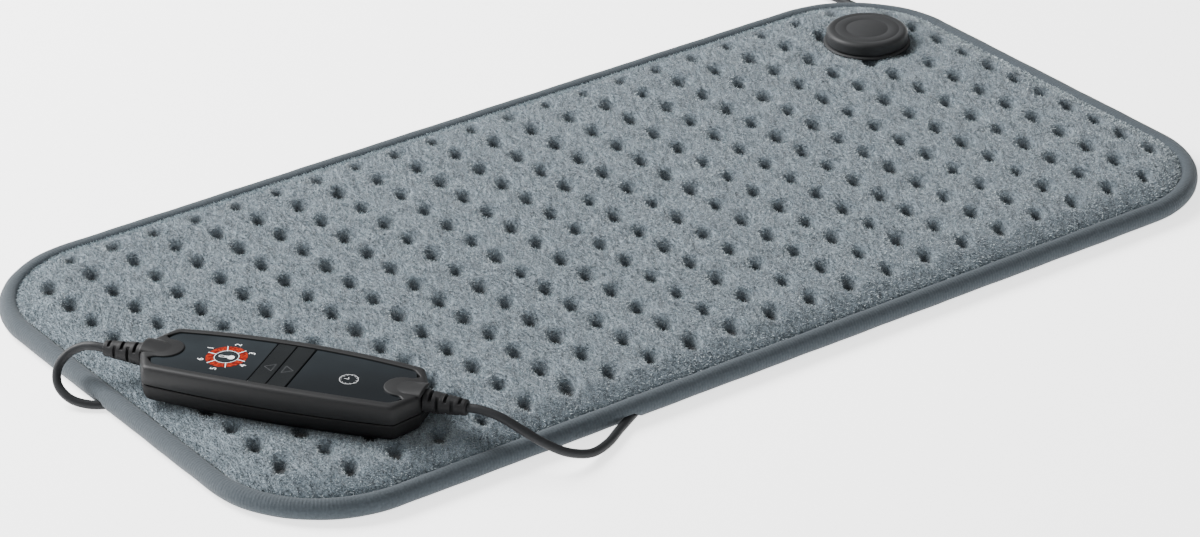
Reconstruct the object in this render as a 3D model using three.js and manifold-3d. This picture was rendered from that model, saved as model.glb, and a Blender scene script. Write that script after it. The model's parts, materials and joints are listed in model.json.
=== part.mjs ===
// Heating pad with a hand controller, in millimetres, +Z up.
// The pad lies on the floor with its middle at the origin, its long side along X.
// The controller lies on the pad's near left corner, the lead's coupling is in the far right corner.
import * as THREE from 'three';
import { mergeVertices } from 'three/addons/utils/BufferGeometryUtils.js';
import Module from 'manifold-3d';

const wasm = await Module();
wasm.setup();

// Clearances and cutting allowances
const seat_gap = 0.3;
const overrun = 2;

// Pad: outline and layers, from the floor up
const pad_length = 600;
const pad_width = 316;
const pad_corner_radius = 66;
const binding_diameter = 9.5;
const cover_sheet = 0.8;
const cord_diameter = 4.5;
const cord_room = 0.4;
const floor_gap = 0.2;
const wadding_skin = 0.8;
const carrier_sheet = 0.6;
const wire_diameter = 1;
const quilt_thickness = 4.2;
const quilt_shoulder = 5;

// Tufts in the quilted top
const tuft_pitch_x = 24.7;
const tuft_pitch_y = 21.8;
const tuft_columns = 23;
const tuft_rows = 13;
const tuft_shift_x = 1.1;
const tuft_shift_y = -0.8;
const tuft_radius = 4.6;
const tuft_depth = 3.5;
const tuft_turn = THREE.MathUtils.degToRad(41.3);

// Heating wire
const wire_runs = 12;
const wire_side_margin = 48;
const wire_pitch = (pad_width - 2 * wire_side_margin) / (wire_runs - 1);
const wire_margin = 92;
const wire_span = pad_length - 2 * wire_margin;
const wire_end_angle = THREE.MathUtils.degToRad(150);

// Coupling in the far right corner
const coupling_from_end = 60;
const coupling_from_side = 70;
const coupling_x = pad_length / 2 - coupling_from_end;
const coupling_y = pad_width / 2 - coupling_from_side;
const cap_radius = 23.2;
const cap_height = 7;
const cap_wall = 1.6;
const flange_height = 1;
const base_radius = 19;
const neck_radius = 13;
const base_wall = 1.8;
const plug_length = 24;
const plug_width = 15;
const plug_height = 4.6;
const plug_nose = 9;
const socket_depth = 10;
const boot_length = 14;
const boot_height_share = 0.8;
const boot_width_share = 0.7;

// Controller housing
const body_length = 145;
const body_width = 50;
const body_end_width = 43;
const body_corner = 8;
const body_entry_width = 14;
const lower_height = 9.2;
const upper_height = 10.6;
const body_arch = 1.6;
const body_wall = 1.8;
const rim_width = 5.4;
const rim_chamfer = 1.8;
const side_draft = 1.4;
const controller_from_end = 63.5;
const controller_from_side = 98.5;
const controller_x = controller_from_end - pad_length / 2;
const controller_y = controller_from_side - pad_width / 2;
const controller_turn = THREE.MathUtils.degToRad(-55.5);

// Keys, panels and lights
const keys_middle = -0.75;
const key_pitch = 9.9;
const key_travel = 0.8;
const panel_thickness = 1.2;
const ring_x = -29.4;
const ring_outer = 10.4;
const ring_inner = 6.2;
const light_thickness = 0.5;
const light_groove = 0.8;
const light_count = 6;

// Cord noses and strain reliefs
const entry_height = 13;
const nose_radius = 6.6;
const nose_length = 18;
const relief_length = 21;
const relief_root_radius = 6;
const relief_tip_radius = 3.9;
const relief_neck_radius = 3.6;
const relief_neck_length = 6;
const slot_width = 1.3;
const slot_pitch = 3.6;
const slot_rows = 5;

// Circuit board and what it carries
const screw_from_end = 24.5;
const screw_x = body_length / 2 - screw_from_end;
const screw_from_side = 11.4;
const screw_y = body_width / 2 - screw_from_side;
const board_from_screws = 7;
const board_length = 2 * (screw_x - board_from_screws);
const board_from_side = 10;
const board_width = body_width - 2 * board_from_side;
const board_thickness = 1.6;
const board_level = 7.4;
const switch_size = 6;
const switch_height = 3.4;
const plunger_radius = 1.7;
const screw_radius = 1.5;
const screw_head_radius = 2.6;
const screw_head_height = 1.6;
const screw_length = 9;

// Mains coil and plug
const coil_turns_per_layer = 3.5;
const coil_gap = 0.5;
const coil_inner_radius = 18.3;
const coil_past_end = 8;
const coil_past_side = 39;
const coil_x = pad_length / 2 + coil_past_end;
const coil_y = pad_width / 2 + coil_past_side;
const coil_start = THREE.MathUtils.degToRad(190);
const coil_steps = 24;
const coil_sides = 6;
const tie_width = 12;
const tie_thickness = 0.8;

// Turned sections and outlines have this many sides
const cord_sides = 8;
const round_sides = 18;
const pad_corner_steps = 7;
const small_sides = 8;

// Heights that follow from the layers
const layer_inset = binding_diameter + seat_gap;
const tunnel_top = floor_gap + cord_diameter + seat_gap;
const arch_top = tunnel_top + cover_sheet;
const wadding_bottom = cover_sheet + seat_gap;
const wadding_top = arch_top + seat_gap + wadding_skin;
const carrier_bottom = wadding_top + seat_gap;
const carrier_top = carrier_bottom + carrier_sheet;
const wire_level = carrier_top + seat_gap + wire_diameter / 2;
const quilt_bottom = wire_level + wire_diameter / 2 + seat_gap;
const quilt_top = quilt_bottom + quilt_thickness;
const cord_level = floor_gap + cord_diameter / 2;

const group = new THREE.Group();

// A named mesh with its own material
function piece(parent, name, geometry, look) {
  const material = new THREE.MeshStandardMaterial(look);
  const mesh = new THREE.Mesh(geometry, material);
  mesh.name = name;
  parent.add(mesh);
  return mesh;
}

// A closed geometry as a solid that can be cut and joined
function solid(geometry) {
  const plain = new THREE.BufferGeometry();
  plain.setAttribute('position', geometry.getAttribute('position').clone());
  if (geometry.index) plain.setIndex(geometry.index.clone());
  const merged = mergeVertices(plain, 1e-4);
  const vertProperties = new Float32Array(merged.getAttribute('position').array);
  const triVerts = new Uint32Array(merged.index.array);
  return new wasm.Manifold(new wasm.Mesh({ numProp: 3, vertProperties, triVerts }));
}

// The geometry of a cut solid
function shape_of(manifold) {
  const mesh = manifold.getMesh();
  const geometry = new THREE.BufferGeometry();
  geometry.setAttribute('position', new THREE.BufferAttribute(new Float32Array(mesh.vertProperties), 3));
  geometry.setIndex(new THREE.BufferAttribute(new Uint32Array(mesh.triVerts), 1));
  geometry.computeVertexNormals();
  return geometry;
}

function cut(body, ...tools) {
  return tools.reduce((rest, tool) => rest.subtract(tool), body);
}

function join(body, ...more) {
  return more.reduce((sum, part) => sum.add(part), body);
}

// A flat outline raised from one height to another
function prism(outline, low, high, segments = small_sides) {
  const geometry = new THREE.ExtrudeGeometry(outline, {
    depth: high - low,
    bevelEnabled: false,
    curveSegments: segments,
  });
  return geometry.translate(0, 0, low);
}

function box(x0, x1, y0, y1, z0, z1) {
  const geometry = new THREE.BoxGeometry(x1 - x0, y1 - y0, z1 - z0);
  return geometry.translate((x0 + x1) / 2, (y0 + y1) / 2, (z0 + z1) / 2);
}

// An upright turned piece from a profile of [radius, height] pairs
function turned(profile, x = 0, y = 0, sides = round_sides) {
  const points = profile.map(([radius, height]) => new THREE.Vector2(radius, height));
  const geometry = new THREE.LatheGeometry(points, sides);
  return geometry.rotateX(Math.PI / 2).translate(x, y, 0);
}

function disc(radius, low, high, x, y, sides = round_sides) {
  return turned([[0, low], [radius, low], [radius, high], [0, high]], x, y, sides);
}

function ring_between(inner, outer, low, high, x, y, sides = round_sides) {
  return turned([[inner, low], [outer, low], [outer, high], [inner, high], [inner, low]], x, y, sides);
}

// A turned piece whose axis lies along X, from a profile of [radius, x] pairs
function turned_along_x(profile, y, z, sides = round_sides) {
  const points = profile.map(([radius, along]) => new THREE.Vector2(radius, along));
  return new THREE.LatheGeometry(points, sides).rotateZ(-Math.PI / 2).translate(0, y, z);
}

// Triangles as a closed geometry, turned over as a whole if they face inwards
function facing_out(positions, index) {
  const point = (place) => new THREE.Vector3(...positions.slice(3 * place, 3 * place + 3));
  let volume = 0;
  for (let place = 0; place < index.length; place += 3) {
    const [a, b, c] = index.slice(place, place + 3).map(point);
    volume += a.dot(b.cross(c));
  }
  const geometry = new THREE.BufferGeometry();
  geometry.setAttribute('position', new THREE.BufferAttribute(new Float32Array(positions), 3));
  geometry.setIndex(volume < 0 ? index.toReversed() : index);
  return geometry;
}

// Rings of points joined into one closed body, either capped or running round on itself
function lofted(rings, closed = false) {
  const count = rings[0].length;
  const positions = rings.flat().flat();
  const index = [];
  const spans = closed ? rings.length : rings.length - 1;
  for (let ring = 0; ring < spans; ring += 1) {
    const next = (ring + 1) % rings.length;
    for (let side = 0; side < count; side += 1) {
      const a = ring * count + side;
      const b = ring * count + (side + 1) % count;
      const c = next * count + (side + 1) % count;
      const d = next * count + side;
      index.push(a, b, c, a, c, d);
    }
  }
  if (!closed) {
    const last = (rings.length - 1) * count;
    for (let side = 1; side < count - 1; side += 1) {
      index.push(0, side + 1, side, last, last + side, last + side + 1);
    }
  }
  return facing_out(positions, index);
}

// Points of the pad's outline, as many at every inset
const outline_corners = [[1, 1, 0], [-1, 1, Math.PI / 2], [-1, -1, Math.PI], [1, -1, Math.PI * 1.5]];
function outline_points(inset, steps) {
  return outline_corners.flatMap(([side_x, side_y, start]) => {
    const radius = pad_corner_radius - inset;
    const centre_x = side_x * (pad_length / 2 - pad_corner_radius);
    const centre_y = side_y * (pad_width / 2 - pad_corner_radius);
    return Array.from({ length: steps + 1 }, (_, step) => {
      const angle = start + step / steps * Math.PI / 2;
      return [centre_x + radius * Math.cos(angle), centre_y + radius * Math.sin(angle)];
    });
  });
}

// The pad's outline as a flat shape, drawn in by the inset
function pad_outline(inset) {
  const points = outline_points(inset, pad_corner_steps);
  return new THREE.Shape(points.map(([x, y]) => new THREE.Vector2(x, y)));
}

// The leads' routes: chosen points, the leads' ends are worked out from what they meet
class Route extends THREE.CatmullRomCurve3 {
  // Steps fall evenly between the chosen points, so bends get more of them than straight runs
  getPointAt(share, target) {
    return this.getPoint(share, target);
  }

  getTangentAt(share, target) {
    return this.getTangent(share, target);
  }
}

function route(points) {
  return new Route(points.map(([x, y, z]) => new THREE.Vector3(x, y, z)), false, 'centripetal');
}

// A round cord along a line, with so many steps
function tube(curve, diameter, steps, sides = cord_sides) {
  const section = new THREE.Shape();
  const radius = diameter / 2;
  for (let side = 0; side <= sides; side += 1) {
    const angle = side / sides * Math.PI * 2;
    const point = [radius * Math.cos(angle), radius * Math.sin(angle)];
    if (side === 0) section.moveTo(...point);
    else section.lineTo(...point);
  }
  return new THREE.ExtrudeGeometry(section, { steps, extrudePath: curve, curveSegments: 1 });
}

// A channel that a lead lies in, open to the floor, with its upper corners cut off
const channel_shoulder_share = 0.6;
const channel_roof_share = 0.55;
function channel(points, half_width, top) {
  const section = [
    [half_width, -overrun],
    [half_width, top * channel_shoulder_share],
    [half_width * channel_roof_share, top],
    [-half_width * channel_roof_share, top],
    [-half_width, top * channel_shoulder_share],
    [-half_width, -overrun],
  ];
  const rings = points.map((point, place) => {
    const before = points[Math.max(place - 1, 0)];
    const after = points[Math.min(place + 1, points.length - 1)];
    const along = new THREE.Vector2(after[0] - before[0], after[1] - before[1]).normalize();
    return section.map(([side, height]) => [point[0] - along.y * side, point[1] + along.x * side, height]);
  });
  return solid(lofted(rings));
}

// A lead through its chosen points
const steps_per_point = 2;
function lead(points) {
  return tube(route(points), cord_diameter, steps_per_point * (points.length - 1));
}

// Colours and surfaces
const plush_look = { color: 0x6f8290, roughness: 0.95, metalness: 0 };
const binding_look = { color: 0x46535f, roughness: 0.9, metalness: 0 };
const backing_look = { color: 0x3c4650, roughness: 0.9, metalness: 0 };
const wadding_look = { color: 0xd9dbdc, roughness: 1, metalness: 0 };
const felt_look = { color: 0xc9c2b2, roughness: 1, metalness: 0 };
const wire_look = { color: 0xa8482c, roughness: 0.6, metalness: 0 };
const housing_look = { color: 0x3b3b3d, roughness: 0.55, metalness: 0 };
const lower_look = { color: 0x2c2c2e, roughness: 0.6, metalness: 0 };
const key_look = { color: 0x414143, roughness: 0.6, metalness: 0 };
const panel_look = { color: 0x1f2930, roughness: 0.15, metalness: 0 };
const light_look = { color: 0xff4a12, roughness: 0.4, metalness: 0, emissive: 0xff3a08 };
const rubber_look = { color: 0x333335, roughness: 0.7, metalness: 0 };
const board_look = { color: 0x1f5a36, roughness: 0.5, metalness: 0 };
const black_look = { color: 0x1b1b1d, roughness: 0.5, metalness: 0 };
const steel_look = { color: 0xb9bcc0, roughness: 0.3, metalness: 1 };
const brass_look = { color: 0xc8a24c, roughness: 0.3, metalness: 1 };
const diffuser_look = { color: 0xe8e4dc, roughness: 0.5, metalness: 0 };

// Heights of the coupling
const flange_bottom = quilt_top + seat_gap;
const flange_top = flange_bottom + flange_height;
const cap_bottom = flange_top + seat_gap;
const cap_top = cap_bottom + cap_height;
const plug_bottom = seat_gap + base_wall / 2 + seat_gap;
const plug_top = plug_bottom + plug_height;
const plug_middle = (plug_bottom + plug_top) / 2;
const plug_front_x = coupling_x - base_radius + plug_nose;
const plug_rear_x = plug_front_x - plug_length;
const boot_end_x = plug_rear_x - boot_length;
const pocket_end_x = boot_end_x - plug_length - boot_length;

// Both leads leave the controller level with its middle, along its axis
const controller_axis = new THREE.Vector2(Math.cos(controller_turn), Math.sin(controller_turn));
const controller_base = quilt_top + seat_gap;
const lead_reach = body_length / 2 + seat_gap + relief_length + seat_gap;
const lead_height = controller_base + entry_height;
function lead_start(side, further) {
  const reach = side * (lead_reach + further);
  return [controller_x + controller_axis.x * reach, controller_y + controller_axis.y * reach, lead_height];
}

// Over the near short side, under the pad, to the coupling plug
const pad_lead_points = [
  lead_start(-1, 0), lead_start(-1, relief_neck_length),
  [-296.4, 28, 25.5], [-301.6, 32.8, 21.6], [-307.6, 33.6, 15.6], [-311, 29, 9.3],
  [-309.6, 20.8, 4.6], [-303.4, 13, cord_level], [-293, 5.6, cord_level], [-279, -1.5, cord_level],
  [-255, -5, cord_level], [-205, 1, cord_level], [-145, 14, cord_level], [-85, 28, cord_level],
  [-25, 42, cord_level], [35, 55, cord_level], [90, 68, cord_level], [135, 81, cord_level],
  [158, 84, cord_level], [boot_end_x - boot_length / 2, coupling_y, plug_middle],
  [boot_end_x - seat_gap, coupling_y, plug_middle],
];
const pad_lead_covered = 7;

// Over the front side, under the pad, and out again at the far right corner
const coil_outer_radius = coil_inner_radius + coil_turns_per_layer * (cord_diameter + coil_gap);
const coil_level = tie_thickness + 3 * seat_gap + cord_diameter / 2;
const coil_entry = [
  coil_x + coil_outer_radius * Math.cos(coil_start),
  coil_y + coil_outer_radius * Math.sin(coil_start),
];
const coil_heading = [Math.sin(coil_start), -Math.cos(coil_start)];
function along_coil_line(distance, level) {
  return [coil_entry[0] + coil_heading[0] * distance, coil_entry[1] + coil_heading[1] * distance, level];
}
function before_coil(distance) {
  return along_coil_line(-distance, coil_level);
}
const mains_lead_points = [
  lead_start(1, 0), lead_start(1, relief_neck_length),
  [-174.5, -150, 25], [-169, -158.5, 20.6], [-162, -166.5, 14.6], [-152, -172.5, 8.2],
  [-139.5, -174, 3.9], [-126.5, -169.5, cord_level], [-112, -161, cord_level], [-88, -148.5, cord_level],
  [-40, -134, cord_level], [30, -116, cord_level], [110, -101, cord_level], [180, -83, cord_level],
  [235, -50, cord_level], [270, 0, cord_level], [284, 55, cord_level], [285, 105, cord_level],
  [281.5, 145, cord_level],
  before_coil(cord_diameter * 3), before_coil(cord_diameter + seat_gap),
];
const mains_lead_covered = [7, 18];

// The stretch of a lead that the pad covers, step by step as its tube has it
function covered_stretch(points, first, last) {
  const steps = steps_per_point * (points.length - 1);
  const curve = route(points);
  const places = curve.getPoints(steps).map((place) => place.toArray());
  return places.slice(steps_per_point * first, steps_per_point * last + 1);
}
const covered_routes = [
  covered_stretch(pad_lead_points, pad_lead_covered, pad_lead_points.length - 1),
  covered_stretch(mains_lead_points, ...mains_lead_covered),
];
const channel_half = cord_diameter / 2 + cord_room;

// Fabric and felt layers, each draped over both leads
function layer(low, high, room, roof) {
  const slab = solid(prism(pad_outline(layer_inset), low, high));
  if (!roof) return slab;
  return cut(slab, ...covered_routes.map((points) => channel(points, channel_half + room, roof)));
}

function coupling_hole(radius) {
  return solid(disc(radius, -overrun, quilt_top + overrun, coupling_x, coupling_y));
}

function plug_pocket() {
  const near = coupling_y - plug_width / 2 - 2 * seat_gap;
  const far = coupling_y + plug_width / 2 + 2 * seat_gap;
  return solid(box(pocket_end_x, coupling_x, near, far, -overrun, carrier_bottom));
}

function bottom_cover() {
  const flat = layer(0, cover_sheet, 0, 0);
  const inside_pad = solid(prism(pad_outline(layer_inset), -overrun, arch_top + overrun));
  const arches = covered_routes.map((points) => {
    return channel(points, channel_half + cover_sheet, arch_top).intersect(inside_pad);
  });
  const above_floor = solid(prism(pad_outline(-overrun), 0, arch_top + overrun));
  const draped = join(flat, ...arches).intersect(above_floor);
  const tunnels = covered_routes.map((points) => channel(points, channel_half, tunnel_top));
  return cut(draped, ...tunnels, coupling_hole(base_radius + seat_gap), plug_pocket());
}

function lower_wadding() {
  const room = cover_sheet + seat_gap;
  const slab = layer(wadding_bottom, wadding_top, room, arch_top + seat_gap);
  return cut(slab, coupling_hole(base_radius + seat_gap), plug_pocket());
}

function heater_carrier() {
  return cut(layer(carrier_bottom, carrier_top, 0, 0), coupling_hole(base_radius + seat_gap));
}

// One wire, laid to and fro, with both ends at the coupling
function wire_points() {
  const points = [];
  const half = wire_span / 2;
  const first_y = -(wire_runs - 1) / 2 * wire_pitch;
  const turn = wire_pitch / 2;
  const rim = base_radius + seat_gap + wire_diameter / 2;
  const side_x = coupling_x + neck_radius;
  points.push([coupling_x + neck_radius / 2, coupling_y - rim, wire_level]);
  points.push([side_x, coupling_y - rim - turn, wire_level]);
  points.push([side_x, first_y + wire_pitch, wire_level]);
  points.push([side_x - turn, first_y + turn, wire_level]);
  for (let run = 0; run < wire_runs; run += 1) {
    const y = first_y + run * wire_pitch;
    const side = run % 2 === 0 ? 1 : -1;
    points.push([side * half, y, wire_level], [-side * half, y, wire_level]);
    if (run < wire_runs - 1) {
      [-1, 0, 1].forEach((quarter) => {
        const angle = quarter * Math.PI / 4;
        const x = -side * (half + turn * Math.cos(angle));
        points.push([x, y + turn + turn * Math.sin(angle), wire_level]);
      });
    }
  }
  points.pop();
  const end_x = coupling_x + rim * Math.cos(wire_end_angle);
  const end_y = coupling_y + rim * Math.sin(wire_end_angle);
  points.push([end_x, end_y, wire_level]);
  return points;
}

function heating_wire() {
  const points = wire_points();
  return tube(route(points), wire_diameter, points.length - 1, coil_sides);
}

// A flat lozenge with round ends
function lozenge(x, y, length, width, low, high) {
  const radius = width / 2;
  const outline = new THREE.Shape();
  outline.absarc(x + length / 2 - radius, y, radius, -Math.PI / 2, Math.PI / 2);
  outline.absarc(x - length / 2 + radius, y, radius, Math.PI / 2, Math.PI * 1.5);
  return prism(outline, low, high, coil_sides);
}

// The quilted top: a crowned slab with a small funnel pressed in at each place of the lattice
const tuft_clear = 1;
const quilt_corner_steps = 4;
function tuft_places() {
  const places = [];
  const straight_x = pad_length / 2 - pad_corner_radius;
  const straight_y = pad_width / 2 - pad_corner_radius;
  const corner_sag = Math.cos(Math.PI / 4 / quilt_corner_steps);
  const corner_reach = (pad_corner_radius - layer_inset - quilt_shoulder) * corner_sag - tuft_radius;
  for (let row = 0; row < tuft_rows; row += 1) {
    for (let column = 0; column < tuft_columns; column += 1) {
      const x = tuft_shift_x + (column - (tuft_columns - 1) / 2) * tuft_pitch_x;
      const y = tuft_shift_y + (row - (tuft_rows - 1) / 2) * tuft_pitch_y;
      const past_x = Math.max(Math.abs(x) - straight_x, 0);
      const past_y = Math.max(Math.abs(y) - straight_y, 0);
      const into_corner = Math.hypot(past_x, past_y);
      const from_coupling = Math.hypot(x - coupling_x, y - coupling_y);
      if (into_corner < corner_reach && from_coupling > cap_radius + tuft_clear) places.push([x, y]);
    }
  }
  return places;
}

const quilt_lip = 1.4;
const neck_hole_sides = 10;
const mouth_corners = 3;
function quilted_top() {
  const positions = [];
  const index = [];
  const add = (x, y, z) => positions.push(x, y, z) / 3 - 1;
  const rings = [
    [layer_inset, quilt_bottom],
    [layer_inset, quilt_bottom + quilt_lip],
    [layer_inset + quilt_shoulder, quilt_top],
  ].map(([inset, height]) => outline_points(inset, quilt_corner_steps).map(([x, y]) => add(x, y, height)));
  const count = rings[0].length;
  for (let ring = 0; ring < rings.length - 1; ring += 1) {
    for (let side = 0; side < count; side += 1) {
      const next = (side + 1) % count;
      index.push(rings[ring][side], rings[ring][next], rings[ring + 1][next]);
      index.push(rings[ring][side], rings[ring + 1][next], rings[ring + 1][side]);
    }
  }
  const hole_radius = (neck_radius + seat_gap) / Math.cos(Math.PI / neck_hole_sides);
  const hole_angles = Array.from({ length: neck_hole_sides }, (_, side) => -side / neck_hole_sides * Math.PI * 2);
  const hole = [quilt_bottom, quilt_top].map((height) => hole_angles.map((angle) => {
    const x = coupling_x + hole_radius * Math.cos(angle);
    return add(x, coupling_y + hole_radius * Math.sin(angle), height);
  }));
  for (let side = 0; side < neck_hole_sides; side += 1) {
    const next = (side + 1) % neck_hole_sides;
    index.push(hole[0][side], hole[0][next], hole[1][next], hole[0][side], hole[1][next], hole[1][side]);
  }
  const mouths = tuft_places().map(([x, y], place) => {
    const mouth = Array.from({ length: mouth_corners }, (_, corner) => {
      const angle = place * tuft_turn - corner / mouth_corners * Math.PI * 2;
      return add(x + tuft_radius * Math.cos(angle), y + tuft_radius * Math.sin(angle), quilt_top);
    });
    const bottom = add(x, y, quilt_top - tuft_depth);
    mouth.forEach((corner, side) => index.push(mouth[(side + 1) % mouth_corners], corner, bottom));
    return mouth;
  });
  const flat_point = (place) => new THREE.Vector2(positions[place * 3], positions[place * 3 + 1]);
  const fill = (outline, holes, upward) => {
    const flat = (list) => list.map(flat_point);
    const all = [outline, ...holes].flat();
    THREE.ShapeUtils.triangulateShape(flat(outline), holes.map(flat)).forEach(([a, b, c]) => {
      if (upward) index.push(all[a], all[b], all[c]);
      else index.push(all[a], all[c], all[b]);
    });
  };
  fill(rings[2], [hole[1], ...mouths], true);
  fill(rings[0], [hole[0]], false);
  return facing_out(positions, index);
}

// The piping roll, dented from below where a lead passes under it
const binding_sides = 10;
function edge_binding() {
  const radius = binding_diameter / 2;
  const middle = outline_points(radius, pad_corner_steps);
  const outer = outline_points(0, pad_corner_steps);
  const rings = middle.map(([x, y], place) => {
    const out = new THREE.Vector2(outer[place][0] - x, outer[place][1] - y).normalize();
    return Array.from({ length: binding_sides }, (_, side) => {
      const angle = (side + 1 / 2) / binding_sides * Math.PI * 2 + Math.PI / 2;
      const reach = radius * Math.cos(angle);
      return [x + out.x * reach, y + out.y * reach, radius + radius * Math.sin(angle)];
    });
  });
  const tunnels = covered_routes.map((points) => channel(points, channel_half, tunnel_top));
  return cut(solid(lofted(rings, true)), ...tunnels);
}

const cutout_length = 10;
const cutout_width = 4;
piece(group, 'bottom_cover', shape_of(bottom_cover()), backing_look);
piece(group, 'lower_wadding', shape_of(lower_wadding()), wadding_look);
piece(group, 'heater_carrier', shape_of(heater_carrier()), felt_look);
piece(group, 'heating_wire', heating_wire(), wire_look);
[-1, 1].forEach((side, place) => {
  const level = carrier_top + seat_gap;
  const x = side * wire_span / 4;
  const chip = lozenge(x, 0, cutout_length, cutout_width, level, level + wire_diameter);
  piece(group, `thermal_cutout_${place + 1}`, chip, black_look);
});
piece(group, 'top_cover', quilted_top(), plush_look);
piece(group, 'edge_binding', shape_of(edge_binding()), binding_look);

// Coupling: a base under the pad, a flange and a cap over it, held together by screws from below
const neck_top = cap_bottom + cap_height / 3;
const base_bottom = seat_gap;
const cavity_floor = plug_top + seat_gap + base_wall;
const coupling_screw_radius = 1.1;
const coupling_head_radius = 2.2;
const coupling_head_height = 1.4;
const coupling_screw_circle = 7.6;
const coupling_screw_count = 3;
const coupling_screw_length = 14;
const boss_radius = 2.7;
const pin_radius = 0.8;
const pin_pitch = 4;
const pin_count = 3;
const pin_root = 3;
const pin_reach = 7;
const cap_fillet = 1.6;
const fillet_share = 0.3;
const cap_lean = 0.5;
const cap_groove = 0.3;
const cap_groove_shares = [0.5, 0.78];
const cap_sides = 32;
const socket_end_x = coupling_x - base_radius + socket_depth;

const coupling_screw_places = Array.from({ length: coupling_screw_count }, (_, place) => {
  const angle = place / coupling_screw_count * Math.PI * 2;
  const x = coupling_x + coupling_screw_circle * Math.cos(angle);
  return [x, coupling_y + coupling_screw_circle * Math.sin(angle)];
});
const pin_places = Array.from({ length: pin_count }, (_, place) => {
  return coupling_y + (place - (pin_count - 1) / 2) * pin_pitch;
});

// A round hole along X
function bore_along_x(radius, from, to, y, z) {
  return solid(turned_along_x([[0, from], [radius, from], [radius, to], [0, to]], y, z, small_sides));
}

function coupling_base() {
  const collar = quilt_bottom - seat_gap;
  const inner = neck_radius - base_wall;
  const body = solid(turned([
    [0, base_bottom], [base_radius, base_bottom], [base_radius, collar], [neck_radius, collar],
    [neck_radius, neck_top], [inner, neck_top], [inner, cavity_floor], [0, cavity_floor],
  ], coupling_x, coupling_y));
  const half = plug_width / 2 + seat_gap;
  const mouth_x = coupling_x - base_radius - overrun;
  const low = plug_bottom - seat_gap;
  const high = plug_top + seat_gap;
  const socket = solid(box(mouth_x, socket_end_x, coupling_y - half, coupling_y + half, low, high));
  const screw_holes = coupling_screw_places.flatMap(([x, y]) => {
    const head_top = base_bottom + coupling_head_height + seat_gap;
    return [
      solid(disc(coupling_screw_radius + seat_gap, -overrun, cavity_floor + overrun, x, y, small_sides)),
      solid(disc(coupling_head_radius + seat_gap, -overrun, head_top, x, y, small_sides)),
    ];
  });
  const pin_holes = pin_places.map((y) => {
    const deep = socket_end_x + pin_root + seat_gap;
    return bore_along_x(pin_radius + seat_gap, socket_end_x - overrun, deep, y, plug_middle);
  });
  return cut(body, socket, ...screw_holes, ...pin_holes);
}

function coupling_cap() {
  const lip = cap_radius - cap_lean;
  const grooves = cap_groove_shares.toReversed().flatMap((share) => {
    const radius = lip * share;
    return [
      [radius + cap_groove, cap_top], [radius, cap_top - cap_groove], [radius - cap_groove, cap_top],
    ];
  });
  const inner = cap_radius - cap_wall;
  const ceiling = cap_top - cap_wall;
  const shell = solid(turned([
    [inner, cap_bottom], [cap_radius, cap_bottom], [lip, cap_top - cap_fillet],
    [lip - cap_fillet * fillet_share, cap_top - cap_fillet * fillet_share], [lip - cap_fillet, cap_top],
    ...grooves, [0, cap_top], [0, ceiling], [inner - cap_lean, ceiling], [inner, cap_bottom],
  ], coupling_x, coupling_y, cap_sides));
  const bosses = coupling_screw_places.map(([x, y]) => {
    return solid(disc(boss_radius, cavity_floor + seat_gap, ceiling + seat_gap, x, y, small_sides));
  });
  const bores = coupling_screw_places.map(([x, y]) => {
    const top = base_bottom + coupling_head_height + coupling_screw_length + seat_gap;
    return solid(disc(coupling_screw_radius + seat_gap, cavity_floor, top, x, y, small_sides));
  });
  return cut(join(shell, ...bosses), ...bores);
}

function coupling_flange() {
  const inner = neck_radius + seat_gap;
  const outer = cap_radius + cap_lean;
  return ring_between(inner, outer, flange_bottom, flange_top, coupling_x, coupling_y, cap_sides);
}

// A screw standing on its head, driven upwards
function upward_screw(x, y, low, head_radius, head_height, shank_radius, length) {
  return turned([
    [0, low], [head_radius, low], [head_radius, low + head_height],
    [shank_radius, low + head_height], [shank_radius, low + head_height + length - shank_radius],
    [0, low + head_height + length],
  ], x, y, small_sides);
}

// A cross-section with its corners cut off, standing across X
function section_across_x(x, y, z, half_width, half_height, corner) {
  return [
    [half_width, half_height - corner], [half_width - corner, half_height],
    [corner - half_width, half_height], [-half_width, half_height - corner],
    [-half_width, corner - half_height], [corner - half_width, -half_height],
    [half_width - corner, -half_height], [half_width, corner - half_height],
  ].map(([across, up]) => [x, y + across, z + up]);
}

function coupling_plug() {
  const half_width = plug_width / 2;
  const half_height = plug_height / 2;
  const corner = plug_height / 5;
  const end = cord_diameter / 2 + cord_room * 2;
  const along = (x, ...sizes) => section_across_x(x, coupling_y, plug_middle, ...sizes);
  const body = solid(lofted([
    along(boot_end_x, end, end * boot_height_share, end / 2),
    along(plug_rear_x, half_width * boot_width_share, half_height, corner),
    along(plug_rear_x + corner, half_width, half_height, corner),
    along(plug_front_x, half_width, half_height, corner),
  ]));
  const bores = pin_places.map((y) => {
    const deep = socket_end_x - pin_reach - seat_gap;
    return bore_along_x(pin_radius + seat_gap, deep, plug_front_x + overrun, y, plug_middle);
  });
  return cut(body, ...bores);
}

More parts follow.
